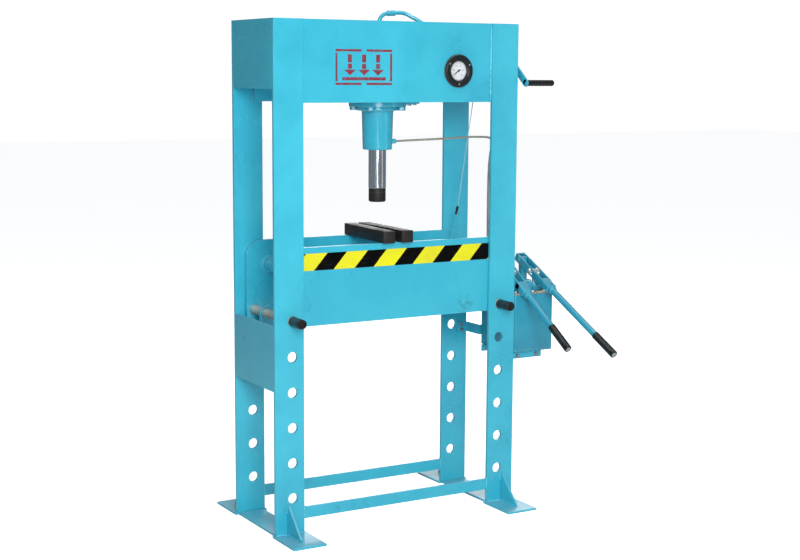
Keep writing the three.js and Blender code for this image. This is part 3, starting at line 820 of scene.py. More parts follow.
@dataclass(frozen=True)
class StencilPaint:
    """Red paint sprayed through a stencil, thin in places over the enamel."""

    name: str = "stencil_red"
    red: Colour = (0.25, 0.010, 0.020)
    under: Colour = (0.07, 0.16, 0.26)

    def make(self) -> Material:
        """Build the material."""
        material, tree, shader = start_material(self.name)
        clouds, peel = paint_drift(tree, 60.0, 500.0)
        paint = blend_colour(
            tree, spread(tree, clouds, 0.45, 0.72, 0.05, 0.75), self.red, self.under
        )
        rough = spread(tree, peel, 0.3, 0.7, 0.4, 0.6)
        feed(
            tree, shader, Base_Color=paint, Roughness=rough, Normal=bumped(tree, peel, 0.15, 0.0002)
        )
        return material


@dataclass(frozen=True)
class TableEnamel(Enamel):
    """The table's enamel, with one dark scuff on the front plate."""

    scuff_at: Triple = (285.0, -156.0, 772.0)
    scuff_reach: float = 46.0
    smudge_tone: Colour = (0.03, 0.10, 0.14)

    def make(self) -> Material:
        """Build the enamel and lay the smudge over its colour."""
        material = super().make()
        tree = material.node_tree
        colour_in = tree.nodes["Principled BSDF"].inputs["Base Color"]
        gap = vector_sum(tree, "DISTANCE", object_place(tree), at(*self.scuff_at), "Value")
        near = spread(tree, gap, self.scuff_reach * MM, 0.0, 0.0, 1.0)
        rough_edge = spread(tree, noise(tree, 55.0, 6.0), 0.42, 0.62, 0.0, 0.75)
        smudge = sums(tree, "MULTIPLY", near, rough_edge)
        colour = colour_in.links[0].from_socket
        tree.links.new(blend_colour(tree, smudge, colour, self.smudge_tone), colour_in)
        return material


class Finish(Enum):
    """Every finish, with the slot that it belongs to."""

    FRAME = "frame_enamel"
    CYLINDER = "cylinder_enamel"
    PUMP = "pump_enamel"
    TABLE = "table_enamel"
    # a lighter copy of the frame enamel: painted highlight on the weld beads
    WELD = "frame_enamel."
    CASE = "gauge_black"
    DIAL = "dial_white"
    PRINT = "gauge_black."
    LENS = "lens_glass"
    ZINC = "zinc"
    ROPE = "rope_strand"
    CHROME = "ram_chrome"
    OILED = "oiled_steel"
    BARE = "bare_steel"
    BOLT = "bare_steel."
    GRIP = "black_grip"
    TAPE = "table_enamel.."
    STENCIL = "frame_enamel..."
    RUST = "bare_steel.."

    @property
    def slot(self) -> str:
        """Give the slot name."""
        return self.value.rstrip(".")


EVEN = (1.0, 1.0, 1.0)
RECIPES = {
    Finish.FRAME: Enamel("column_enamel"),
    Finish.CYLINDER: Enamel(
        "cylinder_paint", roughness=0.18, coat=0.9, edge_highlight_and_wear_amount=0.35, dust=0.12
    ),
    Finish.PUMP: Enamel(
        "pump_paint", tone=(0.030, 0.36, 0.50), shade=(0.018, 0.27, 0.40), roughness=0.32, dust=0.2
    ),
    Finish.TABLE: TableEnamel(
        "table_paint", tone=(0.042, 0.47, 0.62), scuffs=0.05, edge_highlight_and_wear_amount=0.9, dust=0.2
    ),
    # the welds' lighter tone is a painted highlight on the beads; their enamel is the frame's
    Finish.WELD: Enamel(
        "weld_paint_painted_highlight", (0.10, 0.62, 0.76), (0.05, 0.48, 0.62), roughness=0.18, coat=0.9, dust=0.1
    ),
    Finish.CASE: Moulded(
        "gauge_case_paint", (0.005, 0.006, 0.008), (0.04, 0.045, 0.05), 0.30, 0.15, dust=0.06
    ),
    Finish.DIAL: DialCard(),
    Finish.PRINT: Moulded("dial_ink", (0.01, 0.01, 0.012), (0.04, 0.04, 0.045), 0.5, 0.2, dust=0.0),
    Finish.LENS: LensGlass(),
    Finish.ZINC: Metal("dull_zinc", (0.46, 0.44, 0.37), (0.30, 0.28, 0.22), 0.42, 0.55, 0.6),
    Finish.ROPE: Metal(
        "wire_strand", (0.33, 0.68, 0.80), (0.20, 0.42, 0.52), 0.42, 0.3, stretch=EVEN
    ),
    Finish.CHROME: Metal(
        "hard_chrome", (0.80, 0.82, 0.86), (0.55, 0.58, 0.62), 0.16, stain_amount=0.25, bump=0.03,
        edge_highlight_and_wear_tone=(0.9, 0.9, 0.92),
    ),
    Finish.OILED: Metal(
        "oiled_steel", (0.013, 0.009, 0.007), (0.005, 0.006, 0.006), 0.50, 0.15,
        stretch=(1.0, 0.08, 1.0), edge_highlight_and_wear_tone=(0.20, 0.19, 0.17), edge_radius=2.0, bump=0.3,
    ),
    Finish.BARE: Metal(
        "bare_steel", (0.74, 0.69, 0.62), (0.42, 0.34, 0.27), 0.42, 0.5, stretch=(1.0, 0.06, 1.0)
    ),
    Finish.BOLT: Metal("plated_bolt", (0.46, 0.47, 0.48), (0.25, 0.23, 0.20), 0.34, stretch=EVEN),
    Finish.GRIP: Moulded(
        "grip_rubber", (0.003, 0.0035, 0.0045), (0.022, 0.024, 0.028), 0.34, 0.2, dust=0.06
    ),
    Finish.TAPE: HazardTape(top=996.0, start=-285.0),
    Finish.STENCIL: StencilPaint(),
    Finish.RUST: Metal(
        "rusty_bore", (0.010, 0.005, 0.004), (0.004, 0.003, 0.003), 0.8, 0.1, stretch=EVEN
    ),
}
MATERIALS = {finish: recipe.make() for finish, recipe in RECIPES.items()}


def paint(finish: Finish, *nodes: str) -> None:
    """Give carried-over parts a finish."""
    for name in nodes:
        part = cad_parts[name]
        if not part.material_slots:
            part.data.materials.append(MATERIALS[finish])
        for slot in part.material_slots:
            slot.material = MATERIALS[finish]
        LOG.info("painted %s with %s", name, finish.name)


def done(
    piece: Piece,
    finish: Finish,
    body: Optional[str],
    stands_for: Sequence[str] = (),
    angle: float = 32.0,
) -> Piece:
    """Dress a finished piece and hang it on its body.

    Args:
        piece: the piece, in place.
        finish: its finish.
        body: the body that it rides on, or None for a piece that hangs on no body.
        stands_for: the carried-over parts that it takes the place of.
        angle: the largest corner that is shaded smooth, in degrees.

    Returns:
        The same piece.
    """
    hold(piece)
    bpy.ops.object.shade_smooth_by_angle(angle=math.radians(angle))
    piece.data.materials.clear()
    piece.data.materials.append(MATERIALS[finish])
    if body is not None:
        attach(piece, body)
    if stands_for:
        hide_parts(*stands_for)
    LOG.info("made %s: %d faces on %s", piece.name, len(piece.data.polygons), body)
    return piece


def weld(name: str, beads: Sequence[Piece], body: str = "frame") -> None:
    """Join weld beads into one piece and hang it on its body."""
    done(joined(name, beads), Finish.WELD, body, angle=60.0)


def hex_bolt(name: str, seat: Triple, axis: Vector, across: float, tall: float) -> Piece:
    """Make a hexagon bolt head with a domed top and a washer face.

    Args:
        name: the piece's name.
        seat: the middle of the face that it sits on.
        axis: which way the head stands up.
        across: its size across the flats.
        tall: its height.

    Returns:
        The new piece.
    """
    radius = across / math.sqrt(3)
    washer = turned(f"{name}_washer", seat, axis, [(across * 0.56, 0.0), (across * 0.56, 1.4)], 32)
    profile = [(radius * 0.96, 1.4), (radius, 2.2), (radius, tall - 1.6), (radius * 0.86, tall)]
    head = turned(f"{name}_head", seat, axis, profile, 6)
    return joined(name, [head, washer])


# ------------------------------------------------------------------ the frame
@dataclass
class ColumnFrame:
    """The columns, the beam, the feet and their welds."""

    bead: float = 4.2
    inner_edge: float = 386.0
    outer_edge: float = 498.0
    column_face: float = 171.0
    gusset_x: float = 450.0
    rail_y: float = 165.0
    hole_x: float = 430.0
    hole_low: float = 136.0
    hole_pitch: float = 126.0
    hole_rows: int = 6
    lap_face: float = -158.7
    beam_low: float = 1516.0
    top: float = 1800.0
    nodes: tuple[str, ...] = (
        "beam_front_plate", "beam_back_plate", "side_plate_top_left", "side_plate_top_right",
        "side_plate_lower_left", "cylinder_mount_plate", "winch_plate", "beam_tab", "rail_front",
        "rail_back", "base_plate_left", "base_plate_right",
    )

    def build(self) -> None:
        """Paint the plates and lay the welds and bolts."""
        corners = [f"{end}_{side}" for end in ("front", "back") for side in ("left", "right")]
        paint(Finish.FRAME, *self.nodes)
        paint(Finish.FRAME, *[f"upright_{c}" for c in corners], *[f"gusset_{c}" for c in corners])
        self.beam_welds()
        self.foot_welds()
        self.side_welds()
        self.bolts()
        self.hole_collars()

    def beam_welds(self) -> None:
        """Run fillets where the beam plates meet the columns' inner edges."""
        beads = []
        for n, (edge, r) in enumerate(((-self.inner_edge, 2.6), (self.inner_edge, self.bead))):
            x = edge - math.copysign(1.0, edge)
            for face in (self.lap_face, -self.lap_face):
                y = face + math.copysign(r * 0.35, face)
                low, high = (x, y, self.beam_low + 3), (x, y, self.top - 8)
                beads.append(bead(f"beam_weld_{n}", low, high, r, seed=n + 1))
        weld("beam_welds", beads)

    def foot_welds(self) -> None:
        """Run fillets round the feet, the gussets and the rails."""
        beads = []
        seed = 5
        for side in (-1, 1):
            outer, inner = side * self.outer_edge, side * self.inner_edge
            for end in (-1, 1):
                seed += 3
                face, rail = end * self.column_face, end * self.rail_y
                runs = [((outer, face, 8.6), (inner, face, 8.6), 3.8, 0)]
                for flank in (-4.4, 4.4):
                    x = side * self.gusset_x + flank
                    runs.append(((x, face, 9), (x, face + end * 100, 9), 2.8, 1))
                    runs.append(((x, face, 84), (x, face, 112), 3.4, 2))
                x = inner - side
                runs.append(((x, rail - 5, 99.6), (x, rail + 5, 99.6), 3.0, 0))
                for flank, radius, later in ((4.6, 4.0, 1), (-4.6, 3.0, 2)):
                    y = rail + end * flank
                    runs.append(((x, y, 58), (x, y, 98), radius, later))
                beads += [bead("foot_weld", low, high, r, seed + n) for low, high, r, n in runs]
        weld("foot_welds", beads)

    def side_welds(self) -> None:
        """Stitch the side plates to the columns, three stitches to a seam."""
        beads = []
        for x, low, high in (
            (-488.0, 521.0, 751.0), (-488.0, 1563.0, 1800.0), (488.0, 1563.0, 1800.0)
        ):
            for y in (-157.0, 157.0):
                for k in range(3):
                    z = low + 14 + k * (high - low - 60) / 2
                    beads.append(bead("stitch", (x, y, z), (x, y, z + 34), 3.2, seed=k + int(low)))
        weld("side_welds", beads)

    def bolts(self) -> None:
        """Fasten the winch plate and the bracket under the beam."""
        down = Axis.DOWN.vector
        heads = [hex_bolt("tab_bolt", (x, 18.0, 1508.0), down, 13.0, 8.0) for x in (120.0, 146.0)]
        for x in (290.0, 370.0, 462.0):
            for y in (-118.0, 118.0):
                heads.append(hex_bolt("winch_bolt", (x, y, 1519.9), down, 17.0, 3.6))
        done(joined("frame_bolts", heads), Finish.BOLT, "frame", angle=25.0)

    def hole_collars(self) -> None:
        """Line the pin holes with a thin rubbed bush."""
        wall = [
            (19.05, -10.5), (19.05, 0.15), (20.4, 0.25), (20.9, 0.0), (20.9, -0.4), (19.4, -10.5)
        ]
        wall.append(wall[0])
        rings = []
        for side in (-1, 1):
            for k in range(self.hole_rows):
                z = self.hole_low + self.hole_pitch * k
                for face, way in ((-self.column_face, Axis.FRONT), (self.column_face, Axis.Y)):
                    spot = (side * self.hole_x, face, z)
                    rings.append(turned("hole_ring", spot, way.vector, wall, 32, True))
        done(joined("pin_hole_rings", rings), Finish.FRAME, "frame", angle=40.0)


@dataclass
class StencilMark:
    """A generic sign on the beam: framed arrows that press down on a bar."""

    face: float = -158.7
    proud: float = 0.35
    left: float = -256.0
    right: float = -31.0
    bottom: float = 1577.0
    top: float = 1700.0
    stroke: float = 8.0

    def bar(self, x0: float, x1: float, z0: float, z1: float) -> Piece:
        """Lay one bar of paint."""
        return block("stencil_bar", (x0, self.face - self.proud, z0), (x1, self.face - 0.05, z1))

    def arrow(self, x: float) -> list[Piece]:
        """Lay an arrow that points down, with a stencil bridge in its shaft."""
        parts = [
            self.bar(x - 8, x + 8, self.bottom + 78, self.top - 18),
            self.bar(x - 8, x + 8, self.bottom + 56, self.bottom + 73),
        ]
        head = self.bar(x - 24, x + 24, self.bottom + 34, self.bottom + 53)
        pick_faces(head, lambda middle_at, normal: normal.z < -0.5)
        centre = at(x, self.face - self.proud / 2, self.bottom + 34)
        bpy.ops.transform.resize(value=(0.05, 1.0, 1.0), center_override=centre)
        bpy.ops.object.mode_set(mode="OBJECT")
        return [*parts, head]

    def build(self) -> None:
        """Lay the frame, three arrows and the bar under them."""
        x0, x1, z0, z1, s = self.left, self.right, self.bottom, self.top, self.stroke
        mid = (x0 + x1) / 2
        parts = [
            self.bar(x0, mid - 10, z1 - s, z1),
            self.bar(mid + 10, x1, z1 - s, z1),
            self.bar(x0, mid - 10, z0, z0 + s),
            self.bar(mid + 10, x1, z0, z0 + s),
            self.bar(x0, x0 + s, z0 + s + 5, z1 - s - 5),
            self.bar(x1 - s, x1, z0 + s + 5, z1 - s - 5),
            self.bar(x0 + 26, x1 - 26, z0 + 16, z0 + 27),
        ]
        for x in (mid - 56, mid, mid + 56):
            parts.extend(self.arrow(x))
        done(joined("beam_stencil", parts), Finish.STENCIL, "frame")


# ------------------------------------------------------------------ cylinder and ram
@dataclass
class PressCylinder:
    """The working cylinder, its bolted flange, its ram and its port."""

    lip: float = 53.5
    root: float = 57.5
    bore: float = 32.8
    bottom: float = 1343.0
    top: float = 1725.0
    flange: float = 104.5
    flange_top: float = 1515.7
    collar: float = 76.0
    bolt_pitch: float = 64.5

    def build(self) -> None:
        """Make every piece."""
        self.barrel()
        self.fasteners()
        self.ram()
        self.port()

    def barrel(self) -> None:
        """Turn the barrel with its flange, collar, tapered lower end and bore."""
        low = self.flange_top - 17.7
        seat = low - 14.0
        profile = [
            (self.root - 9, self.top), (self.root - 2, self.top - 6),
            (self.root - 2, self.flange_top), (self.flange - 1.2, self.flange_top),
            (self.flange, self.flange_top - 1.2), (self.flange, low + 1.5),
            (self.flange - 1.5, low), (self.collar + 0.8, low), (self.collar, low - 1.0),
            (self.collar, seat + 2.0), (self.collar - 2.0, seat), (self.root + 2.5, seat),
            (self.root + 0.6, seat - 1.4), (self.root, seat - 4.0),
            (self.lip + 0.45, self.bottom + 15.0), (self.lip - 0.5, self.bottom + 14.2),
            (self.lip - 0.5, self.bottom + 12.6), (self.lip + 0.25, self.bottom + 11.8),
            (self.lip, self.bottom + 2.4), (self.lip - 2.2, self.bottom),
            (self.bore + 5.0, self.bottom), (self.bore + 4.0, self.bottom + 1.2),
            (self.bore + 4.0, self.bottom + 5.0), (self.bore, self.bottom + 5.0),
            (self.bore, self.top - 30.0),
        ]
        shell = turned("cylinder_barrel", (0, 0, 0), Axis.Z.vector, profile, 96)
        done(shell, Finish.CYLINDER, "frame", ["cylinder_body"], angle=24.0)
        wiper = [
            (self.bore - 0.1, 0.6), (self.bore + 3.8, 0.6), (self.bore + 3.8, 4.8),
            (self.bore - 0.1, 4.8)
        ]
        seal = turned(
            "wiper_seal", (0, 0, self.bottom), Axis.Z.vector, [*wiper, wiper[0]], 64, True
        )
        done(soften(seal, 0.5), Finish.GRIP, "frame")
        ring = ring_bead(
            "collar_weld", (0, 0, self.flange_top - 31.5), Axis.Z.vector, self.root + 1.4, 2.2
        )
        done(ring, Finish.WELD, "frame", angle=60.0)

    def fasteners(self) -> None:
        """Fit the four flange bolts on their washers."""
        low = self.flange_top - 18.0
        first = hex_bolt(
            "flange_bolt_1", (self.bolt_pitch, self.bolt_pitch, low), Axis.DOWN.vector, 24.0, 13.0
        )
        heads = [first]
        for n, (dx, dy) in enumerate(((-2, 0), (0, -2), (-2, -2)), start=2):
            shift = (dx * self.bolt_pitch, dy * self.bolt_pitch, 0.0)
            heads.append(moved_copy(first, f"flange_bolt_{n}", shift))
        done(
            joined("flange_bolt_set", heads), Finish.CYLINDER, "frame", ["flange_bolts"], angle=25.0
        )

    def ram(self) -> None:
        """Turn the chromed rod and its hardened tip."""
        chrome = [(30.5, 1560.0), (32.0, 1558.5), (32.0, 1204.2), (31.0, 1202.6), (29.0, 1202.35)]
        done(
            turned("ram_chromed_rod", (0, 0, 0), Axis.Z.vector, chrome, 96), Finish.CHROME, "ram",
            ["ram_rod"], 24.0
        )
        tip = [
            (29.0, 1202.0), (31.4, 1201.0), (31.4, 1190.0), (30.7, 1189.2), (30.7, 1187.6),
            (31.4, 1186.8), (31.4, 1157.6), (30.4, 1155.0), (27.4, 1153.0), (12.0, 1153.0),
            (10.5, 1154.6), (10.5, 1162.0),
        ]
        done(
            turned("ram_hard_tip", (0, 0, 0), Axis.Z.vector, tip, 96), Finish.OILED, "ram",
            ["ram_tip"], 24.0
        )

    def port(self) -> None:
        """Fit the port boss, its nut and the flare behind the pipe."""
        z = 1372.0
        x = self.lip + 1.7
        boss = turned(
            "port_boss", (x, 0, z), Axis.X.vector,
            [(11.0, -4.0), (11.0, 1.0), (9.0, 3.4), (9.0, 8.0)], 40
        )
        nut = turned(
            "port_nut", (x, 0, z), Axis.X.vector,
            [(8.3, 7.0), (8.7, 8.0), (8.7, 20.6), (7.6, 22.0)], 6
        )
        sleeve = turned(
            "port_sleeve", (x, 0, z), Axis.X.vector, [(6.6, 20.0), (6.6, 23.0), (5.2, 23.4)], 32
        )
        union = joined("port_union", [boss, nut, sleeve])
        done(union, Finish.CYLINDER, "frame", ["pipe_union"], angle=25.0)


# ------------------------------------------------------------------ gauge
@dataclass
class PressureGauge:
    """The pressure gauge in the beam, with its scale, pointer and lens."""

    x: float = 243.0
    z: float = 1628.0
    face: float = -158.7
    radius: float = 59.0
    proud: float = 14.0
    dial: float = 34.0
    depth: float = 46.0
    pointer: float = 214.0
    first: float = 225.0
    sweep: float = 270.0
    marks: int = 50

    def spot(self, radius: float, degrees: float, out: float) -> Triple:
        """Give a point on the gauge's face.

        Args:
            radius: distance from the middle.
            degrees: angle from +X, seen from the front.
            out: how far it stands in front of the beam.

        Returns:
            The point in press millimetres.
        """
        turn = math.radians(degrees)
        return (self.x + radius * math.cos(turn), self.face - out, self.z + radius * math.sin(turn))

    def build(self) -> None:
        """Make every piece."""
        self.case()
        self.scale()
        self.hand()
        self.back()

    def case(self) -> None:
        """Turn the case, the lens and the bezel's screws."""
        body, dial, proud = 42.0, self.dial, self.proud
        profile = [
            (body - 3, -self.depth), (body, -self.depth + 3), (body, 0.3), (self.radius - 0.8, 0.3),
            (self.radius, 1.2), (self.radius, proud - 5.4), (self.radius - 0.6, proud - 4.0),
            (self.radius - 3.4, proud - 0.8), (self.radius - 5.0, proud), (dial + 6.0, proud),
            (dial + 4.4, proud - 0.8), (dial + 2.6, proud - 4.0), (dial + 2.6, proud - 6.0),
            (dial + 0.6, proud - 6.0), (dial + 0.6, 2.0),
        ]
        origin = (self.x, self.face, self.z)
        case = turned("gauge_shell", origin, Axis.FRONT.vector, profile, 96)
        done(case, Finish.CASE, "frame", ["gauge_case"], angle=22.0)
        rim = [
            (self.radius - 0.2, 4.0), (self.radius + 0.5, 4.4), (self.radius + 0.5, 6.0),
            (self.radius - 0.2, 6.4)
        ]
        band = turned("gauge_band", origin, Axis.FRONT.vector, [*rim, rim[0]], 96, True)
        done(band, Finish.BOLT, "frame")
        disc = [(dial - 0.2, 2.3), (dial, 2.5), (dial, 3.4), (dial - 0.2, 3.6)]
        card = turned("gauge_card", origin, Axis.FRONT.vector, disc, 96)
        done(card, Finish.DIAL, "frame", ["gauge_dial"])
        glass = [(dial + 1.6, 8.35), (dial + 2.0, 8.6), (dial + 2.0, 9.5), (dial + 1.6, 9.75)]
        done(
            turned("gauge_glass", origin, Axis.FRONT.vector, glass, 96), Finish.LENS, "frame",
            ["gauge_lens"]
        )
        heads = []
        for degrees in (268.0, 28.0, 148.0):
            seat = self.spot(47.5, degrees, proud - 0.2)
            screw = turned(
                "bezel_screw", seat, Axis.FRONT.vector, [(3.2, 0.0), (3.2, 0.9), (2.0, 1.7)], 24
            )
            x, y, z = seat
            slot = block("slot_tool", (x - 4, y - 3.0, z - 0.45), (x + 4, y - 1.0, z + 0.45))
            heads.append(carve(screw, slot))
        done(joined("gauge_screws", heads), Finish.BOLT, "frame")

    def scale(self) -> None:
        """Print the arc of marks and the numbers."""
        ink = []
        for k in range(self.marks + 1):
            degrees = self.first - self.sweep * k / self.marks
            long = k % 10 == 0
            half = k % 5 == 0
            length = 6.0 if long else 4.6 if half else 3.0
            wide = 0.55 if long else 0.32
            x, y, z = self.spot(30.5 - length / 2, degrees, 3.62)
            mark = block(
                "mark", (x - length / 2, y - 0.12, z - wide / 2), (x + length / 2, y, z + wide / 2)
            )
            ink.append(swung(mark, (x, y, z), Axis.Y.vector, -math.radians(degrees)))
        for k in range(6):
            degrees = self.first - self.sweep * k / 5
            x, y, z = self.spot(19.5, degrees, 3.62)
            ink.append(self.number(str(k * 10), x, y, z))
        ring = [(31.3, 3.62), (31.9, 3.62), (31.9, 3.75), (31.3, 3.75)]
        origin = (self.x, self.face, self.z)
        ink.append(turned("ring", origin, Axis.FRONT.vector, [*ring, ring[0]], 96, True))
        done(joined("gauge_print", ink), Finish.PRINT, "frame")

    @staticmethod
    def number(text: str, x: float, y: float, z: float) -> Piece:
        """Cut one number for the dial, its middle at the given point."""
        clear()
        bpy.ops.object.text_add(location=(0.0, 0.0, 0.0))
        label = bpy.context.object
        label.data.body = text
        label.data.size = 6.4 * MM
        label.data.align_x = "CENTER"
        label.data.align_y = "CENTER"
        label.data.extrude = 0.06 * MM
        label.data.resolution_u = 3
        bpy.ops.object.convert(target="MESH")
        label = bpy.context.object
        label.location = at(x, y - 0.06, z)
        label.rotation_euler = (math.pi / 2, 0.0, 0.0)
        return closed(settle(label))

    def hand(self) -> None:
        """Make the pointer with its hub, bulge and tail."""
        x, z, front = self.x, self.z, Axis.FRONT.vector
        centre = (x, self.face, z)
        hub = turned("hub", centre, front, [(4.2, 4.2), (4.2, 5.0), (2.6, 5.5), (1.6, 5.9)], 40)
        y0, y1 = self.face - 5.1, self.face - 4.3
        blade = block("blade", (x, y0, z - 1.5), (x + 29, y1, z + 1.5))
        pick_faces(blade, lambda middle_at, normal: normal.x > 0.5)
        tip = at(x + 29, (y0 + y1) / 2, z)
        bpy.ops.transform.resize(value=(1.0, 1.0, 0.3), center_override=tip)
        bpy.ops.object.mode_set(mode="OBJECT")
        tail = block("tail", (x - 9, y0, z - 2.2), (x, y1, z + 2.2))
        bulge = turned("bulge", (x + 12, self.face, z), front, [(2.9, 4.3), (2.9, 5.1)], 24)
        pointer = joined("pointer_hand", [hub, blade, tail, bulge])
        swung(pointer, centre, Axis.Y.vector, -math.radians(self.pointer))
        done(pointer, Finish.PRINT, "pointer", ["gauge_pointer"])

    def back(self) -> None:
        """Make the socket block behind the gauge, with its nut."""
        x, z, rear = self.x, self.z, self.face + self.depth + 0.3
        body = rounded("gauge_socket", (x - 13, rear, z - 16), (x + 13, rear + 40, z + 16), 2.0)
        profile = [(11.0, -1.0), (11.0, 12.0), (9.6, 14.0)]
        nut = turned("hose_nut", (x, -92.4, z + 16), Axis.Z.vector, profile, 6)
        done(joined("gauge_socket", [body, nut]), Finish.ZINC, "frame", ["gauge_block"], angle=25.0)


# ------------------------------------------------------------------ hose and pipe
@dataclass
class Lines:
    """The painted hose over the beam and the steel pipe to the pump."""

    hose: tuple[Triple, ...] = (
        (0, 0, 1725.3), (0, 0, 1775), (5, 0, 1803), (17, 0, 1823), (36, 0, 1833), (60, -2, 1834.5),
        (103, -10, 1834.5), (133, -25, 1819), (159, -45, 1800), (200, -74, 1755), (232, -90, 1700),
        (243, -92.4, 1668), (243, -92.4, 1644.3),
    )
    pipe: tuple[Triple, ...] = (
        (79, 0, 1372), (140, 0, 1374), (294, 0, 1378), (429, 0, 1382), (490, 0, 1377),
        (508, 8, 1362), (513, 26, 1325), (514, 38, 1260), (514, 40, 1000), (516, 40, 900),
        (528, 40, 862), (560, 40, 846), (592, 34, 838), (596, 24, 834), (596, 16.3, 834),
    )

    def build(self) -> None:
        """Make the hose, its ferrules, its collar and the pipe."""
        hose = tube("painted_hose", smooth_route(self.hose, 8), 7.4, turns=5)
        ferrule = [(9.4, 0.2), (10.2, 1.0), (10.2, 22.0), (8.4, 24.0)]
        low_nut = turned("hose_low_nut", (0, 0, 1725.3), Axis.Z.vector, ferrule, 6)
        crimp = [(9.2, 22.0), (9.2, 44.0), (8.0, 46.0)]
        low_crimp = turned("hose_low_crimp", (0, 0, 1725.3), Axis.Z.vector, crimp, 32)
        far_crimp = turned(
            "hose_far_crimp", (243, -92.4, 1646), Axis.Z.vector,
            [(9.0, 10.0), (9.0, 26.0), (7.8, 28.0)], 32
        )
        whole = joined("painted_hose", [hose, low_nut, low_crimp, far_crimp])
        done(whole, Finish.CYLINDER, "frame", ["top_hose"], angle=40.0)

        start, end = Vector((40, 0, 1833.4)), Vector((70, -3, 1834.6))
        line = end - start
        collar = [
            (8.0, 0.0), (10.0, 0.0), (10.5, 1.0), (10.5, 8.0), (9.7, 9.0), (9.7, 12.0), (10.5, 13.0)
        ]
        collar += [
            (10.5, 21.0), (9.7, 22.0), (9.7, 24.0), (10.5, 25.0), (10.5, 29.0), (8.0, 30.0),
            (8.0, 0.0)
        ]
        done(
            turned("hose_crimp_collar", tuple(start), line, collar, 40, True),
            Finish.CYLINDER,
            "frame",
            ["hose_collar"],
        )

        pipe = tube("steel_pipe", smooth_route(self.pipe, 6), 4.0, turns=4)
        flare = turned(
            "pipe_flare", (596, 16.4, 834), Axis.Y.vector, [(7.6, 0.0), (7.6, 11.0), (5.4, 14.0)], 6
        )
        done(
            joined("steel_pipe", [pipe, flare]), Finish.ZINC, "frame", ["pressure_pipe"], angle=35.0
        )


